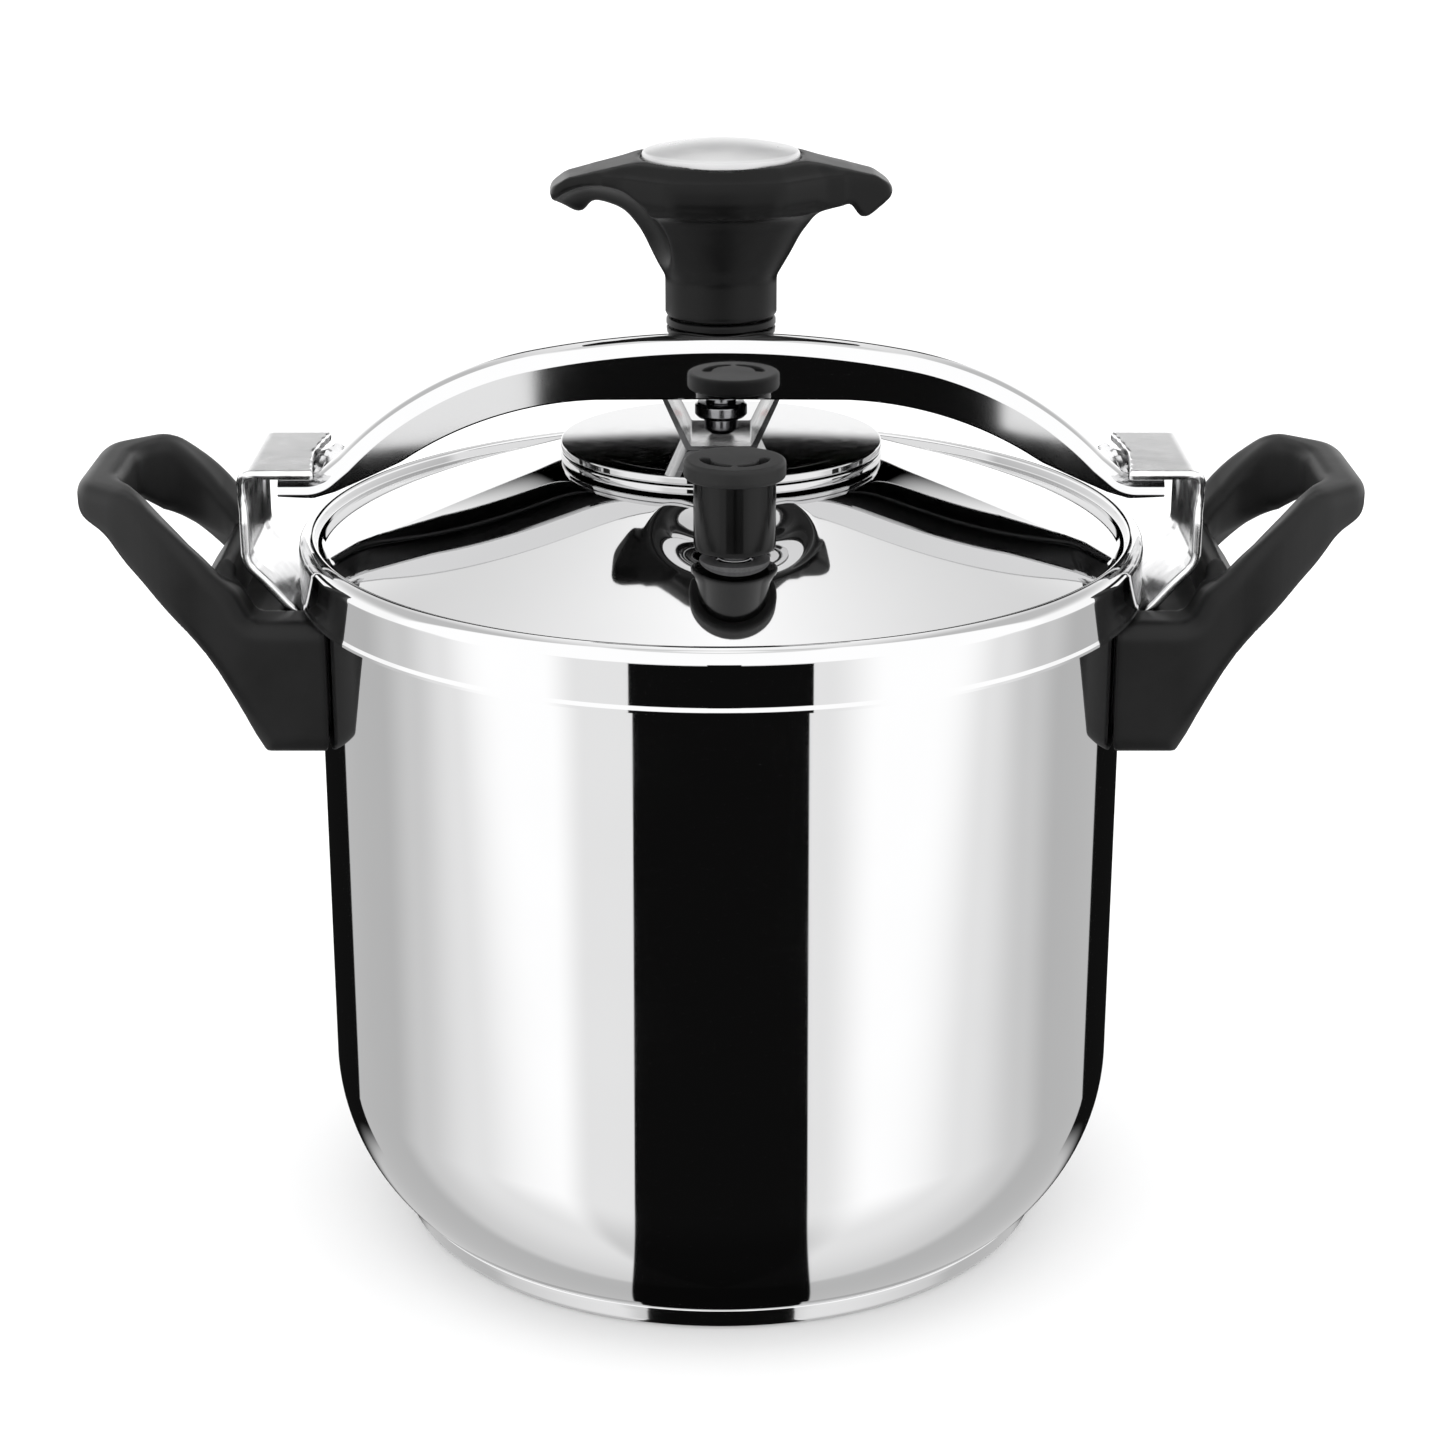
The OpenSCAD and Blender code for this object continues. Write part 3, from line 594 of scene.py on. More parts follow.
def build_lid():
    steps = 420
    skirt, rim = LID_LOW[2], 199.6
    lip = LID_HIGH[0]
    band = lip - 0.18
    g = GROOVE_R
    edge_r = g - 0.8
    groove_z, edge_z = dome_height(g), dome_height(edge_r)
    outer = rounded([
        (lip, skirt + 0.15, 0), (lip, skirt + 0.9, 0.35), (band, skirt + 2.0, 0.9), (band, rim, 3.8),
        (g + 1.0, rim, 1.1), (g + 0.5, groove_z + 0.4, 0.4), (edge_r, edge_z, 0)],
        10, closed=False)
    inner = rounded([
        (edge_r, edge_z - SHEET, 0), (g + 1.2, groove_z - SHEET, 0.3),
        (g + 1.8, rim - SHEET, 0.5), (band - SHEET, rim - SHEET, 3),
        (band - SHEET, skirt + 2.0, 0.9), (lip - SHEET, skirt + 0.9, 0.35), (lip - SHEET, skirt + 0.15, 0),
        (lip - SHEET / 2, skirt, 0)], 8, closed=False)
    dome_r = np.linspace(0, edge_r, 112)[1:-1]
    angles = TURN * np.arange(steps) / steps
    dome = [(r, lid_height(r * np.cos(angles), r * np.sin(angles))) for r in dome_r]
    ring_points = [(r, np.full(steps, z)) for r, z in held(outer, closed=False)] + dome[::-1]
    top_count = len(ring_points)
    ring_points += [(r, z - SHEET) for r, z in dome] + [(r, np.full(steps, z)) for r, z in inner]
    verts = []
    for r, z in ring_points:
        verts += list(zip(r * np.cos(angles), r * np.sin(angles), z))
    poles = len(verts)
    verts += [(0, 0, DOME_TOP), (0, 0, DOME_TOP - SHEET)]
    faces = []
    count = len(ring_points)
    for i in range(count):
        a, b = i * steps, (i + 1) % count * steps
        for k in range(steps):
            n = (k + 1) % steps
            if i == top_count - 1:
                faces += [(a + k, a + n, poles), (b + n, b + k, poles + 1)]
            else:
                faces.append((a + k, a + n, b + n, b + k))
    lid = mesh_object("lid_dome", verts, faces, 40)
    stand_for(lid, "lid_steel", "lid", "lid_shell")


def build_discs():
    for name, low, high, node in (("disc_upper", DISC_LOW, DISC_HIGH, "upper_disc"),
                                  ("disc_lower", LOWER_DISC_LOW, LOWER_DISC_HIGH, "lower_disc")):
        r, bottom = high[0], low[2]
        top = bottom + 2.2
        raised = max(high[2], top + 0.01)
        profile = rounded([(0, bottom, 0), (r, bottom, 0.5), (r, top, 0.4), (r - 6, top, 0),
                           (r - 6, raised, 0), (0, raised, 0)], 5)
        disc = lathe(name, profile, steps=256)
        stand_for(disc, "disc_steel", "lid", node)


def build_trough():
    t = 1.2
    half = TROUGH_HIGH[1]
    bottom, top = TROUGH_LOW[2], TROUGH_HIGH[2]
    wide, floor = TROUGH_HIGH[0], 9.4
    right_out = [(floor, bottom, 2.0), (wide, top, 0.4)]
    right_in = [(wide - t, top, 0.4), (floor - t, bottom + t, 0.8)]
    outline = rounded([(-wide, top, 0.4), (-floor, bottom, 2.0)] + right_out + right_in
                      + [(t - floor, bottom + t, 0.8), (t - wide, top, 0.4)], 6)
    sections = []
    for inset, y in ((0.25, -half), (0, -half + 0.25), (0, 0), (0, half - 0.25), (0.25, half)):
        middle = np.mean(outline, 0)
        section = []
        for x, z in outline:
            away = np.array((x, z)) - middle
            step = away / max(np.linalg.norm(away), 1) * inset * 0.4
            section.append((x - step[0], y, z - step[1]))
        sections.append(section)
    trough = sweep("trough", sections, 40)
    stand_for(trough, "disc_steel", "lid", "guide_trough")
    # Painted shade: the dark-tinted trough material stands in for the shade inside the trough.
    trough.data.materials[0] = MATERIALS["trough_painted_shade"]


# ---------------------------------------------------------------- bridge

def arch_top():
    """Half of the bridge's top edge, from the crown to the hook's end, as finely spaced points."""
    top, reach, hook = BRIDGE_HIGH[2], BRIDGE_HIGH[0], 216.4
    crown_r, crown_x, shoulder_r = 268, 50, 100
    a = math.degrees(math.asin(crown_x / crown_r))
    crown_z = top - crown_r
    sx = crown_x - shoulder_r * math.sin(math.radians(a))
    sz = crown_z + (crown_r - shoulder_r) * math.cos(math.radians(a))
    crown = arc(0, crown_z, crown_r, 90, 90 - a, 24)
    shoulder = arc(sx, sz, shoulder_r, 90 - a, 90 - 46, 30)[1:]
    foot = rounded([(*shoulder[-1], 0), (109.6, hook, 7), (reach, hook, 0)], 12, closed=False)[1:]
    ends = np.linspace(foot[-2], foot[-1], 4)[1:]
    return crown + shoulder + foot[:-1] + [tuple(p) for p in ends]


def arch_belly(x):
    """Height of the bridge's lower edge at the distance x from the axis."""
    known = arc(30, 137.8, 100, 88, 56, 40) + [(96, 216), (104, 212.4), (110, 210.6), (124, 211.2)]
    xs, zs = zip(*([(0, 237.9)] + known))
    return np.interp(x, xs, zs)


def channel_section(point, normal, depth, half, wall):
    """Section of the channel: outer skin over the top, then back inside. depth runs down the flange."""
    edge = 0.5
    r_out, r_in = 4.6, 2.6
    bend = min(r_out + 0.1, depth - edge)
    flat = half - r_out - 0.1
    inner = half - wall
    skin = [(-half, depth - edge), (-half, bend)]
    skin += arc(r_out - half, r_out, r_out, 180, 270, 9)
    skin += [(-flat, 0), (flat, 0)]
    skin += arc(half - r_out, r_out, r_out, 270, 360, 9)
    skin += [(half, bend), (half, depth - edge), (half - edge, depth)]
    skin += [(inner + edge, depth), (inner, depth - edge)]
    skin += arc(inner - r_in, wall + r_in, r_in, 0, -90, 6)
    skin += arc(r_in - inner, wall + r_in, r_in, -90, -180, 6)
    skin += [(-inner, depth - edge), (-inner - edge, depth), (-half + edge, depth)]
    return [(point[0] - normal[0] * s, y, point[1] - normal[1] * s) for y, s in skin]


def flange_depth(point, normal):
    """Distance from the top edge, square to it, down to the lower edge."""
    low, high = 0.0, 40.0
    for _ in range(30):
        middle = (low + high) / 2
        x, z = point[0] - normal[0] * middle, point[1] - normal[1] * middle
        if z > arch_belly(abs(x)):
            low = middle
        else:
            high = middle
    return max(low, 4.9)


def build_bridge():
    half_path = arch_top()
    path = [(-x, z) for x, z in half_path[:0:-1]] + half_path
    half = BRIDGE_HIGH[1]
    wall = 2.0
    sections = []
    for i, point in enumerate(path):
        before, after = path[max(i - 1, 0)], path[min(i + 1, len(path) - 1)]
        along = np.array(after, float) - np.array(before, float)
        along /= np.linalg.norm(along)
        normal = (-along[1], along[0])
        depth = flange_depth(point, normal)
        sections.append(channel_section(point, normal, depth, half, wall))
    bridge = sweep("bridge", sections, 40)
    stand_for(bridge, "bridge_steel", "bridge", "bridge_arch")
    # Painted shade: the faces inside the channel get the near-black steel, which stands in for the shade in
    # the channel.
    bridge.data.materials.append(MATERIALS["channel_painted_shade"])
    for face in bridge.data.polygons:
        if abs(face.center.y) < (half - wall) * MM + 1e-5 and face.normal.z < 0.1:
            face.material_index = 1


def build_collar():
    r, low, high = COLLAR_HIGH[0], COLLAR_LOW[2], COLLAR_HIGH[2]
    profile = rounded([(6.3, low, 0), (r, low, 0.3), (r, high, 0.7), (r - 2, high, 0.3),
                       (r - 2.6, high - 0.5, 0.3), (6.3, high - 0.5, 0)], 5)
    collar = lathe("collar", profile, steps=96)
    stand_for(collar, "knob_plastic", "bridge", "bush_collar")


# ---------------------------------------------------------------- knob

KNOB_TURN = math.radians(3)


def turned(x, y, angle):
    """Coordinates in a frame that is turned by angle about the vertical axis."""
    return x * math.cos(angle) + y * math.sin(angle), -x * math.sin(angle) + y * math.cos(angle)


def knob_field(x, y, z):
    """Two-winged knob: a bevelled head on a flared neck, with a hook under each wing's end."""
    bottom, top, reach = KNOB_LOW[2], CAP_LOW[2] + 1.0, 45.6
    x, y = turned(x, y, KNOB_TURN)
    r = np.hypot(x, y)
    side = rounded([
        (-22, top, 12), (-41.0, 295.6, 6), (-reach, 292.6, 3), (-reach, 290, 3), (-37.4, 283.8, 1.8),
        (-33.6, 289.0, 2.5), (33.6, 289.0, 2.5), (37.4, 283.8, 1.8), (reach, 290, 3), (reach, 292.6, 3),
        (41.0, 295.6, 6), (22, top, 12)], 6)
    half_plan = [(reach + 0.9, 6.4, 5.4), (27.2, 12.4, 6), (14.5, 23.3, 9), (0, 25.6, 30),
                 (-14.5, 23.3, 9), (-27.2, 12.4, 6), (-reach - 0.9, 6.4, 5.4)]
    plan = polygon_field(rounded(half_plan + [(-px, -py, pr) for px, py, pr in half_plan], 8), x, y)
    head = common(polygon_field(side, x, z), plan, 1.6)
    bevel = (z - 295.4 + 1.2 * plan) / 1.562
    head = common(head, bevel, 1.2)
    head = common(head, 290.4 - z - 6 * np.clip((np.abs(x) - 24) / 12, 0, 1), 1.6)
    neck_line = [(0, bottom)] + rounded([
        (14.2, bottom, 0), (15, bottom + 0.9, 0.6), (15, 268.4, 4), (18.4, 274.2, 12),
        (21.5, 279.9, 20), (25.9, 285.6, 10), (34, 288.8, 0)], 6, closed=False) + [(34, 296), (0, 296)]
    squeeze = 1 + 0.22 * np.clip((z - 272) / 14, 0, 1)
    neck = np.maximum(polygon_field(neck_line, np.hypot(x, y * squeeze), z), plan + 0.4)
    body = join(head, common(neck, z - 296, 1), 2.5)
    for side_sign in (-1, 1):
        scoop = np.sqrt((x - side_sign * 33.5) ** 2 + (y - side_sign * 12) ** 2 + (z - 274.5) ** 2) - 19.6
        body = common(body, -scoop, 1.0)
    recess = common(r - 21.4, CAP_LOW[2] - z, 0.3)
    return common(body, -recess, 0.5)


def build_knob():
    low = (-46, -27, KNOB_LOW[2])
    high = (46, 27, 300.5)
    knob = field_mesh("knob", knob_field, low, high, 0.75)
    stand_for(knob, "knob_plastic", "knob", "knob_grip")
    r, low_z, top = CAP_HIGH[0], CAP_LOW[2], CAP_HIGH[2]
    edge = low_z + 2.2
    sag = top - edge
    ball = (r * r + sag * sag) / (2 * sag)
    half = math.degrees(math.asin((r - 0.5) / ball))
    dome = arc(0, top - ball, ball, 90 - half, 90, 24)
    profile = [(0, low_z), (r - 0.6, low_z), (r, low_z + 0.5), (r, edge - 0.5), (r - 0.2, edge - 0.1)] + dome
    cap = lathe("knob_dome", profile, steps=192)
    stand_for(cap, "lid_steel", "knob", "knob_cap")
    cap.data.materials[0] = MATERIALS["cap_steel"]


def thread_radius(z, angle, r, pitch):
    """Radius of a rounded trapezoidal thread at a height and angle."""
    phase = (z / pitch - angle / TURN) % 1.0
    wave = abs(phase - 0.5) * 2
    return r - min(1, max(0, (wave - 0.25) / 0.5))


def build_spindle():
    r = SPINDLE_HIGH[0]
    low, high = SPINDLE_LOW[2], SPINDLE_HIGH[2]
    steps, rows, pitch = 48, 170, 1.75
    verts = [(0, 0, low)]
    for i in range(rows + 1):
        z = low + (high - low) * i / rows
        for k in range(steps):
            a = TURN * k / steps
            here = thread_radius(z, a, r, pitch)
            if i in (0, rows):
                here = r - 1.2
            verts.append((here * math.cos(a), here * math.sin(a), z))
    top = len(verts)
    verts.append((0, 0, high))
    faces = []
    for k in range(steps):
        n = (k + 1) % steps
        faces.append((0, 1 + n, 1 + k))
        faces.append((top, 1 + rows * steps + k, 1 + rows * steps + n))
        for i in range(rows):
            a, b = 1 + i * steps, 1 + (i + 1) * steps
            faces.append((a + k, a + n, b + n, b + k))
    spindle = mesh_object("spindle_screw", verts, faces, 60)
    stand_for(spindle, "spindle_steel", "knob", "spindle")
    z = FOOT_LOW[2]
    neck = FOOT_HIGH[2]
    profile = rounded([
        (0, z, 0), (3, z, 1.5), (4.6, z + 1.4, 0.6), (4.6, z + 4.4, 0.4), (6.3, z + 4.6, 0.4),
        (7.1, z + 5.4, 0.4), (7.1, z + 8, 0.6), (6.3, z + 8.8, 0.3), (4.2, z + 8.9, 0.2), (4.2, neck, 0),
        (0, neck, 0)], 5)
    foot = lathe("thrust_foot", profile, steps=96)
    stand_for(foot, "spindle_steel", "knob", "spindle_foot")


# ---------------------------------------------------------------- brackets

def bracket_field(x, y, z):
    """Stamped lug: flange, upright with a pressed panel, and a diagonal that runs under the lid's lip."""
    reach, top, half = BRACKET_HIGH[0], BRACKET_HIGH[2], BRACKET_HIGH[1]
    t = 2.5
    drop = reach - 193.2
    panel_y = np.clip((15.5 - np.abs(y)) / 5, 0, 1)
    panel_z = np.clip((z - 188) / 5, 0, 1) * np.clip((212.5 - z) / 4, 0, 1)
    smooth = (panel_y ** 2 * (3 - 2 * panel_y)) * (panel_z ** 2 * (3 - 2 * panel_z))
    shifted = x + 0.8 * (1 - smooth) * np.clip((z - 182) / 6, 0, 1) * np.clip((213.5 - z) / 6, 0, 1)
    side = rounded([
        (106, top, 0.5), (reach, top, 4.5), (reach, reach - drop, 8), (107, 107 - drop, 0),
        (107, 107 - drop + t * math.sqrt(2), 0), (reach - t, reach - drop + t * (math.sqrt(2) - 1), 5.5),
        (reach - t, top - t, 2), (106, top - t, 0.5)], 6)
    strip = polygon_field(side, shifted, z)
    upper = np.clip((z - 205) / 8, 0, 1)
    ends = rounded([(90, -half, 0), (reach + 1.5, -half, 7), (reach + 1.5, half, 7), (90, half, 0)], 6)
    width = polygon_field(ends, x, y) * upper + (np.abs(y) - half) * (1 - upper)
    strip = common(strip, width, 0.9)
    r = np.hypot(x, y)
    foot = np.maximum(r - POT_R - t, POT_R + 0.05 - r)
    foot_plan = rounded([(-half, 148, 8), (half, 148, 8), (half, 178, 0), (-half, 178, 0)], 6)
    foot = common(foot, polygon_field(foot_plan, y, z), 0.8)
    foot = np.maximum(foot, RIGHT_SIDE_X - x)
    body = join(strip, foot, 1.5)
    bite = x - 109.2 - 2.2 * np.exp(-(y / 9) ** 2)
    body = common(body, np.where(z > 205, -bite, -5.0), 0.6)
    body = common(body, POT_R + 0.05 - r, 0.3)
    stud = np.maximum(np.hypot(y, z - SCREW_Z) - 4.1, RIGHT_SIDE_X - x)
    return common(body, -stud, 0.2)


def build_brackets():
    low = (106, -BRACKET_HIGH[1], BRACKET_LOW[2])
    high = (BRACKET_HIGH[0] + 1, BRACKET_HIGH[1], BRACKET_HIGH[2])
    right = field_mesh("bracket_right", bracket_field, low, high, 0.6)
    left = mirrored_copy(right, "bracket_left")
    stand_for(right, "bracket_steel", "pot", "right_bracket")
    stand_for(left, "bracket_steel", "pot", "left_bracket")


# ---------------------------------------------------------------- handles

def handle_field(x, y, z):
    """Moulded loop handle: mounting block, two rising arms and an outer bar."""
    reach, top, wide = HANDLE_HIGH[0], HANDLE_HIGH[2], HANDLE_HIGH[1]
    low, shelf, block = HANDLE_LOW[2], 181, 36.2
    side = rounded([
        (100, low, 0), (123.4, low, 2), (127, 150.5, 20), (139, 173, 60), (153.5, 191, 50),
        (165.2, 203.6, 12), (reach - 0.5, 206.8, 5), (reach - 0.2, 215, 4), (170.5, top, 8),
        (155.5, top, 12), (142, 206, 60), (129.4, 190.2, 12), (125.5, shelf, 4), (100, shelf, 0)], 8)
    plan = rounded([
        (95, -block, 0), (126, -block, 30), (146, -wide, 22), (161.5, -wide + 9.5, 22), (reach, -21, 18),
        (reach, 21, 18), (161.5, wide - 9.5, 22), (146, wide, 22), (126, block, 30), (95, block, 0)], 8)
    edge = polygon_field(plan, x, y)
    inward = np.clip(-edge, 0, 15) * np.clip((np.abs(y) - 20) / 5, 0, 1)
    inward = inward * np.clip((x - 126) / 8, 0, 1) * np.clip((158 - x) / 16, 0, 1)
    arm_top = polygon_field(side, x, z + 0.36 * inward)
    arm_underside = polygon_field(side, x, z - 0.95 * inward)
    slanted = np.maximum(arm_top, arm_underside)
    body = common(slanted, edge, 5.0)
    hole_plan = rounded([
        (126, -22.6, 6), (152.5, -28.5, 12), (162.4, -15, 15), (162.4, 15, 15), (152.5, 28.5, 12),
        (126, 22.6, 6)], 8)
    lean = rounded([(133.4, 197.4, 3), (151, 172, 0), (200, 172, 0), (200, 245, 0), (133.4, 245, 0)], 6)
    hole = common(polygon_field(hole_plan, x, y), polygon_field(lean, x, z), 2)
    body = common(body, -hole, 4.0)
    pocket = np.maximum(np.maximum(x - 131.1, shelf - z), np.abs(y) - 22.5)
    slot = np.maximum((x - z + 61.9) * math.sqrt(0.5), np.abs(y) - 22.5)
    body = common(body, -pocket, 0.8)
    body = common(body, -slot, 0.6)
    wall = np.hypot(x, y) - POT_R - 0.85
    body = common(body, -wall, 0.6)
    foot = np.maximum(np.maximum(wall - 1.85, np.abs(y) - 22.4), FOOT_EDGE_Z - z)
    body = common(body, -foot, 0.3)
    screw = np.maximum(np.hypot(y, z - SCREW_Z) - 5.4, 124.2 - x)
    return common(body, -screw, 0.6)


def saddle_field(x, y, z):
    """Thin curved pad between the handle's block and the pot's wall, open for the bracket's foot."""
    half = SADDLE_HIGH[1]
    r = np.hypot(x, y)
    shell = np.maximum(r - POT_R - 0.8, POT_R + 0.06 - r)
    low, high = SADDLE_LOW[2], SADDLE_HIGH[2]
    outline = rounded([(-half, low, 9), (half, low, 9), (half, high, 2), (-half, high, 2)], 6)
    body = common(shell, polygon_field(outline, y, z), 0.3)
    body = np.maximum(body, RIGHT_SIDE_X - x)
    foot = np.maximum(np.abs(y) - 22.3, FOOT_EDGE_Z - z)
    return common(body, -foot, 0.3)


def build_handles():
    low = (100, HANDLE_LOW[1], HANDLE_LOW[2])
    right = field_mesh("handle_right", handle_field, low, HANDLE_HIGH, 0.9)
    left = mirrored_copy(right, "handle_left")
    stand_for(right, "handle_plastic", "pot", "right_handle")
    stand_for(left, "handle_plastic", "pot", "left_handle")
    right = field_mesh("saddle_right", saddle_field, SADDLE_LOW, SADDLE_HIGH, 0.35)
    left = mirrored_copy(right, "saddle_left")
    stand_for(right, "handle_plastic", "pot", "right_saddle")
    stand_for(left, "handle_plastic", "pot", "left_saddle")


# ---------------------------------------------------------------- valves

def regulator_cap_field(x, y, z):
    """Round cap with two curved steam slots in its top."""
    r_out, top = VALVE_CAP_HIGH[0] - VALVE_X, VALVE_CAP_HIGH[2]
    low = top - 4.8
    dx, dy = x - VALVE_X, y - VALVE_Y
    r = np.hypot(dx, dy)
    disc = common(r - r_out, np.maximum(z - top, low - z), 1.2)
    neck = np.maximum(r - 8.2, np.maximum(low - 1.4 - z, z - low - 1))
    body = np.minimum(disc, neck)
    slot_start, slot_end = 11, 86
    round_front = np.degrees(np.arctan2(np.abs(dx), -dy))
    along = np.clip(round_front, slot_start, slot_end)
    bent = np.radians(np.abs(round_front - along)) * 7.6
    slot = np.hypot(np.abs(r - 7.5), bent) - 0.8 - 0.6 * (along - slot_start) / (slot_end - slot_start)
    return common(body, -np.maximum(slot, top - 3.2 - z), 0.25)


def build_regulator():
    cap = field_mesh("regulator_top", regulator_cap_field, VALVE_CAP_LOW, VALVE_CAP_HIGH, 0.3, 45)
    stand_for(cap, "valve_cap_plastic", "regulator_head", "regulator_cap")
    r = VALVE_HIGH[0] - VALVE_X
    bottom, top = VALVE_LOW[2], VALVE_HIGH[2]
    profile = rounded([
        (4.15, bottom, 0.3), (r - 0.2, bottom, 1.0), (r, bottom + 1.5, 0.5), (r, top, 0.3), (8.4, top, 0.2),
        (8.4, bottom + 2.4, 0.4), (4.15, bottom + 2.4, 0.2)], 6)
    body = lathe("regulator_barrel", profile, (VALVE_X, VALVE_Y), 160)
    stand_for(body, "valve_plastic", "regulator_head", "regulator_body")
    seat, pipe_top = 209.2, PIPE_HIGH[2]
    profile = rounded([
        (1.6, PIPE_LOW[2], 0.2), (4.9, PIPE_LOW[2], 0.5), (4.9, seat - 1.2, 0.2), (3.75, seat - 0.9, 0.3),
        (3.75, pipe_top, 0.6), (1.6, pipe_top, 0.3)], 5)
    pipe = lathe("steam_pipe", profile, (VALVE_X, VALVE_Y), 96)
    stand_for(pipe, "fastener_steel", "lid", "vent_pipe")


def safety_field(x, y, z):
    """Housing of the safety valve: a chamfered hexagon, a grooved barrel and a chamber for the spring."""
    seat, hexagon_high = SAFETY_LOW[2] + 10.6, 1.82
    top = SAFETY_HIGH[2]
    dx, dy = x - SAFETY_X, y - SAFETY_Y
    r = np.hypot(dx, dy)
    flats = [np.abs(dx * math.cos(a) + dy * math.sin(a)) - 6.9 for a in np.radians((30, 90, 150))]
    chamfer = r + (z - seat - hexagon_high) * 0.9 - 7.7
    hexagon = np.maximum(np.maximum.reduce(flats), chamfer)
    hexagon = np.maximum(hexagon, np.maximum(seat - z, z - seat - hexagon_high))
    groove = np.hypot(r - 6.6, z - top + 3.2) - 0.7
    barrel = common(common(r - 6.4, z - top, 1.0), -groove, 0.3)
    stem = r - 4.9
    tube = np.maximum(np.where(z < seat, stem, barrel), SAFETY_LOW[2] - z)
    bore = r - 2.6
    chamber = np.maximum(r - 5, np.maximum(212.8 - z, z - 219.6))
    return np.maximum(np.maximum(np.minimum(hexagon, tube), -bore), -chamber)


def build_safety_valve():
    piece = field_mesh("safety_body", safety_field, SAFETY_LOW, SAFETY_HIGH, 0.35, 30)
    stand_for(piece, "fastener_steel", "lid", "safety_housing")
    low, top = PIN_LOW[2], PIN_HIGH[2]
    profile = rounded([(0, low, 0), (4.2, low, 0.1), (4.2, low + 0.5, 0.1), (2.5, low + 0.6, 0.1),
                       (2.5, top, 0.8), (0, top, 0)], 5)
    pin = lathe("safety_plunger_pin", profile, (SAFETY_X, SAFETY_Y), 64)
    stand_for(pin, "pin_red", "safety_plunger", "safety_pin")


# ---------------------------------------------------------------- stage

STEEL_GAIN = 1.56     # brightness of the studio's white cards
DAYLIGHT = 1.8        # brightness of the even light on the plain surfaces


class Formula:
    """Numbers worked out by a chain of math nodes."""

    def __init__(self, tree):
        self.nodes, self.links = tree.nodes, tree.links

    def feed(self, socket, value):
        """Links a node's output to a socket, or sets a plain number on it."""
        if isinstance(value, bpy.types.NodeSocket):
            self.links.new(value, socket)
        else:
            socket.default_value = value

    def math(self, operation, *values):
        """One math node."""
        node = self.nodes.new("ShaderNodeMath")
        node.operation = operation
        for socket, value in zip(node.inputs, values):
            self.feed(socket, value)
        return node.outputs["Value"]

    def steps(self, value, start, end, low=0.0, high=1.0):
        """Rises smoothly from low to high while value goes from start to end."""
        node = self.nodes.new("ShaderNodeMapRange")
        node.interpolation_type = "SMOOTHSTEP"
        names = ("Value", "From Min", "From Max", "To Min", "To Max")
        for name, number in zip(names, (value, start, end, low, high)):
            self.feed(node.inputs[name], number)
        return node.outputs["Result"]

    def blend(self, share, first, second):
        """first where share is 0, second where it is 1."""
        node = self.nodes.new("ShaderNodeMix")
        self.feed(node.inputs["Factor"], share)
        self.feed(node.inputs["A"], first)
        self.feed(node.inputs["B"], second)
        return node.outputs["Result"]

    def times(self, *values):
        """Product of all the values."""
        total = values[0]
        for value in values[1:]:
            total = self.math("MULTIPLY", total, value)
        return total


def studio_light(f, dx, dy, dz):
    """How bright the studio is towards a direction: white cards with black flags in front and behind."""
    front = f.times(dy, -1.0)
    down = f.times(dz, -1.0)
    dip = f.math("DEGREES", f.math("ARCTAN2", down, front))
    turn = f.math("ABSOLUTE", f.math("DEGREES", f.math("ARCTAN2", dx, front)))
    side = f.math("ABSOLUTE", dx)

    # walls beside the camera: grey next to the flag, white further round, grey again and black at the back
    left = f.steps(turn, 37.6, 48.0, 0.77)
    right = f.steps(turn, 28.0, 45.0, 0.77)
    wall = f.blend(f.steps(dx, -0.01, 0.01), left, right)
    wall = f.math("SUBTRACT", wall, f.steps(turn, 97.0, 111.0, 0.0, 0.23))
    behind = f.times(f.steps(turn, 135.6, 136.4), f.steps(dz, -0.58, -0.5))
    wall = f.times(wall, f.math("SUBTRACT", 1.0, f.times(behind, 0.99)))
    shade = f.steps(dip, 35.0, 62.0, 1.0, 0.76)
    shade = f.times(shade, f.steps(dip, 62.0, 105.0, 1.0, 0.75))
    wall = f.times(wall, shade)

    # above the horizon: white, with a black flag low at the back and a shaded ceiling
    rear = f.steps(dy, 0.0, 0.1)
    ceiling = f.math("MAXIMUM", f.math("SUBTRACT", 1.0, f.times(side, 1.1)), 0.5)
    ceiling = f.blend(f.steps(dz, 0.25, 0.6), 0.95, ceiling)
    flag_low = f.math("MULTIPLY_ADD", f.times(side, side), 0.46, 0.2448)
    above_flag = f.math("SUBTRACT", dz, flag_low)
    flag = f.times(f.steps(above_flag, -0.001, 0.002), f.steps(dz, 0.53, 0.56, 1.0, 0.0),
                   f.steps(side, 0.22, 0.3, 1.0, 0.0))
    ceiling = f.times(ceiling, f.math("SUBTRACT", 1.0, flag))
    upper = f.blend(rear, 1.0, ceiling)
    zenith = f.times(f.steps(dz, 0.955, 0.975), f.steps(dz, 0.99, 0.998, 1.0, 0.0))
    upper = f.times(upper, f.math("SUBTRACT", 1.0, f.times(zenith, 0.3)))
    total = f.blend(f.steps(dz, -0.2, -0.14), wall, upper)

    # the black flag in front: narrow round the horizon, wide below it
    wide = f.math("MULTIPLY_ADD", dip, -0.000926, 0.413)
    wide = f.math("SUBTRACT", wide, f.times(dip, dip, 0.00001263))
    low_part = f.steps(dip, 13.8, 15.6)
    left_edge = f.blend(low_part, -0.06, f.times(wide, -1.0))
    right_edge = f.blend(low_part, 0.089, wide)
    inside = f.times(f.steps(f.math("SUBTRACT", dx, left_edge), -0.002, 0.002),
                     f.steps(f.math("SUBTRACT", right_edge, dx), -0.002, 0.002))
    inside = f.times(inside, f.steps(dip, 7.5, 8.5), f.steps(dip, 124.0, 130.0, 1.0, 0.0))
    return f.times(total, f.math("SUBTRACT", 1.0, f.times(inside, 0.995)))


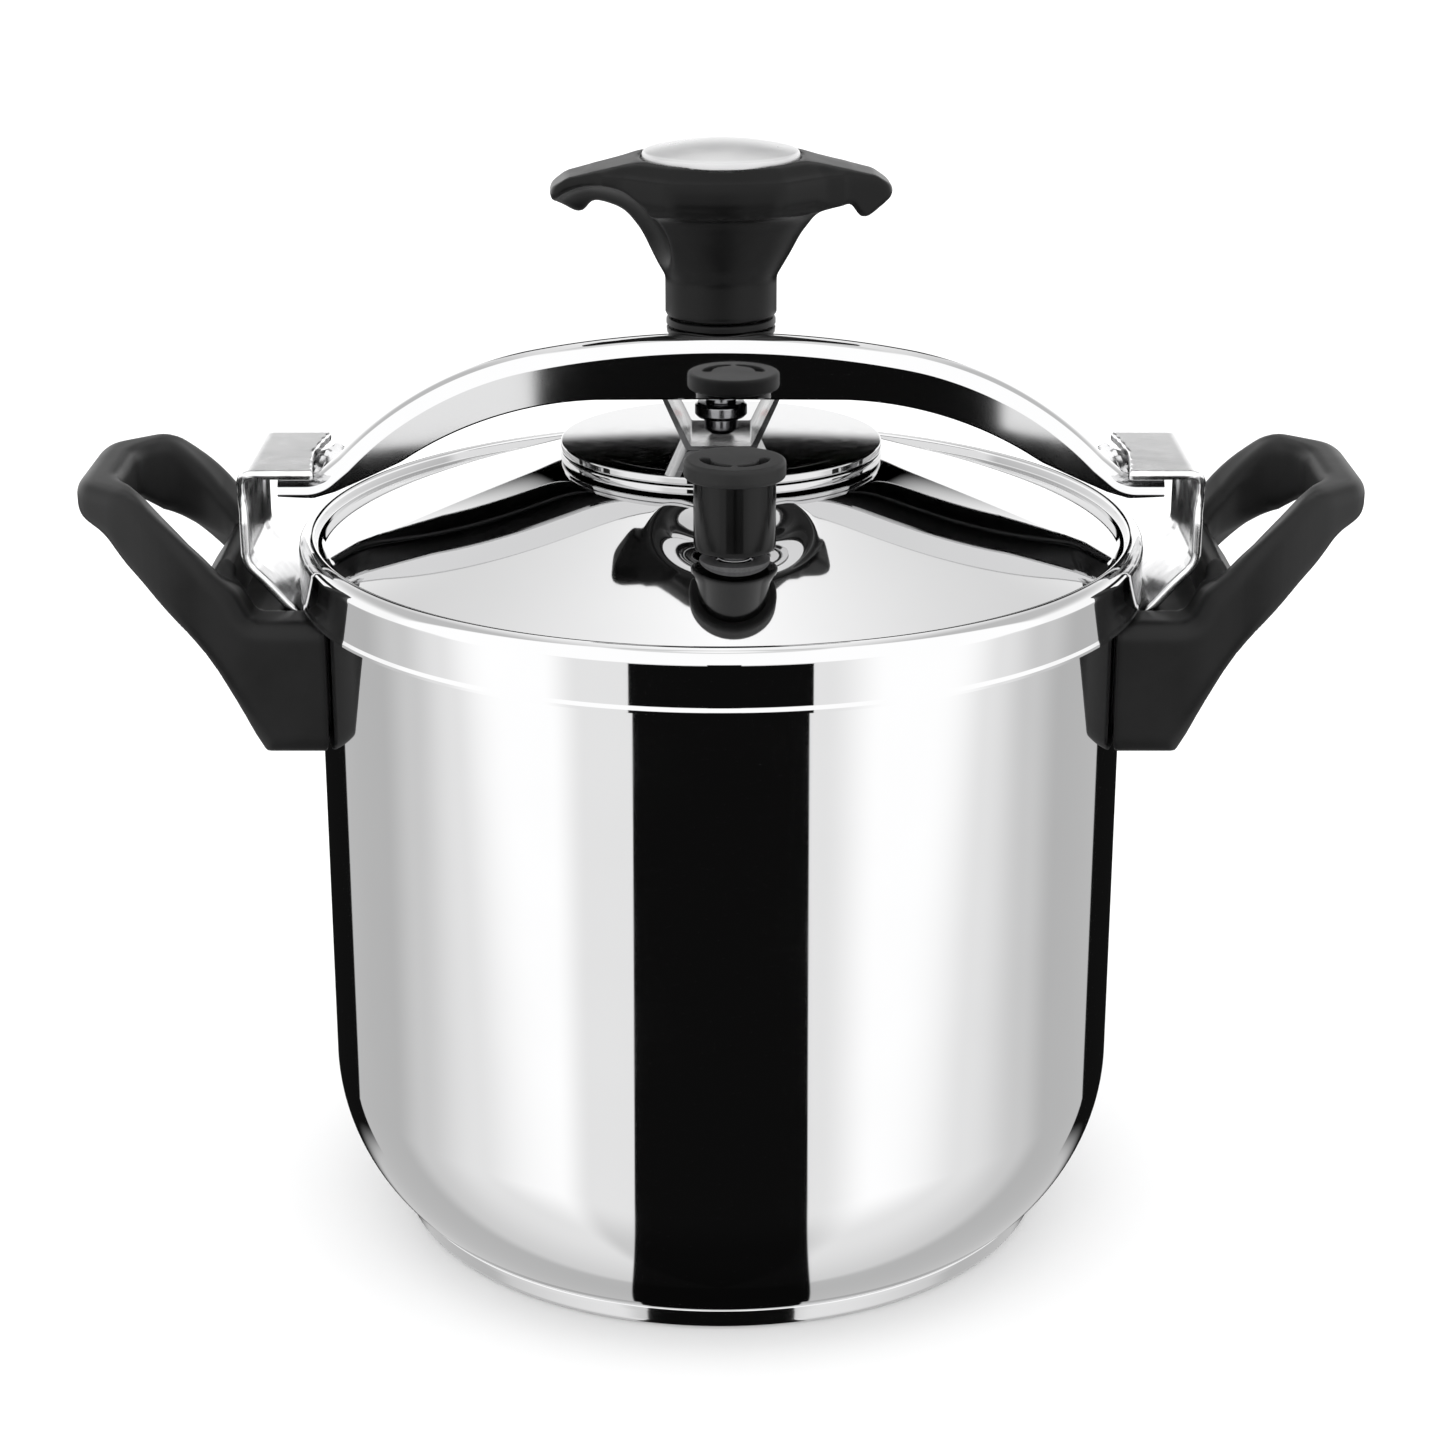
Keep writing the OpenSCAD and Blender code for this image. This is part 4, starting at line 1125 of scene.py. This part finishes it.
def build_studio():
    """A sphere of light round the set that only polished surfaces see."""
    rings, steps, radius = 16, 32, 100000
    verts = [(0, 0, -radius), (0, 0, radius)]
    for i in range(1, rings):
        a = math.pi * i / rings
        r, z = radius * math.sin(a), -radius * math.cos(a)
        verts += [(r * math.cos(TURN * k / steps), r * math.sin(TURN * k / steps), z) for k in range(steps)]
    faces = []
    for k in range(steps):
        n = (k + 1) % steps
        last = 2 + (rings - 2) * steps
        faces += [(0, 2 + k, 2 + n), (1, last + n, last + k)]
        for i in range(rings - 2):
            a, b = 2 + i * steps, 2 + (i + 1) * steps
            faces.append((a + k, b + k, b + n, a + n))
    sphere = mesh_object("studio", verts, faces)
    material = bpy.data.materials.new("studio")
    material.use_nodes = True
    material.cycles.emission_sampling = "NONE"
    nodes, links = material.node_tree.nodes, material.node_tree.links
    nodes.clear()
    place = nodes.new("ShaderNodeTexCoord")
    unit = nodes.new("ShaderNodeVectorMath")
    unit.operation = "NORMALIZE"
    links.new(place.outputs["Object"], unit.inputs[0])
    split = nodes.new("ShaderNodeSeparateXYZ")
    links.new(unit.outputs["Vector"], split.inputs["Vector"])
    formula = Formula(material.node_tree)
    level = studio_light(formula, split.outputs["X"], split.outputs["Y"], split.outputs["Z"])
    light = nodes.new("ShaderNodeEmission")
    links.new(formula.times(level, STEEL_GAIN), light.inputs["Strength"])
    output = nodes.new("ShaderNodeOutputMaterial")
    links.new(light.outputs["Emission"], output.inputs["Surface"])
    sphere.data.materials.append(material)
    sphere.visible_camera = False
    sphere.visible_diffuse = False
    sphere.visible_shadow = False
    sphere.visible_transmission = False


def build_floor():
    """A plain pale floor that polished surfaces don't see."""
    size = 9000
    corners = [(-size, -size, 0), (size, -size, 0), (size, size, 0), (-size, size, 0)]
    floor = mesh_object("floor", corners, [(0, 1, 2, 3)])
    shader = Shader("floor", (0.76, 0.76, 0.76), 0.0, 0.9)
    shader.vary_color(shader.noise(3, 2), (0.755, 0.755, 0.757), (0.765, 0.765, 0.765))
    shader.set(Specular_IOR_Level=0.0)
    floor.data.materials.append(shader.material)
    floor.visible_glossy = False


def build_world():
    """Even daylight that the plain surfaces and the camera see."""
    scene = bpy.context.scene
    world = bpy.data.worlds.new("daylight")
    world.use_nodes = True
    background = world.node_tree.nodes["Background"]
    background.inputs["Color"].default_value = (1, 1, 1, 1)
    background.inputs["Strength"].default_value = DAYLIGHT
    scene.world = world
    scene.view_settings.view_transform = "Standard"


def build_camera():
    """The view from the front, 19.4 degrees down, from 0.93 m away."""
    data = bpy.data.cameras.new("camera")
    data.sensor_width = 36
    data.lens = 77.96
    data.clip_end = 50
    camera = bpy.data.objects.new("camera", data)
    camera.location = (0.0004, -0.83268, 0.43333)
    camera.rotation_euler = (math.radians(70.64), 0, 0)
    bpy.context.scene.collection.objects.link(camera)
    bpy.context.scene.camera = camera


# ---------------------------------------------------------------- build

build_camera()
build_pot()
build_base()
build_lid()
build_discs()
build_trough()
build_bridge()
build_collar()
build_knob()
build_spindle()
build_brackets()
build_handles()
build_regulator()
build_safety_valve()

for entry in frame["record"]["subparts"]:
    dress(frame["nodes"][entry["node"]], entry["material_slot"])

build_floor()
build_studio()
build_world()
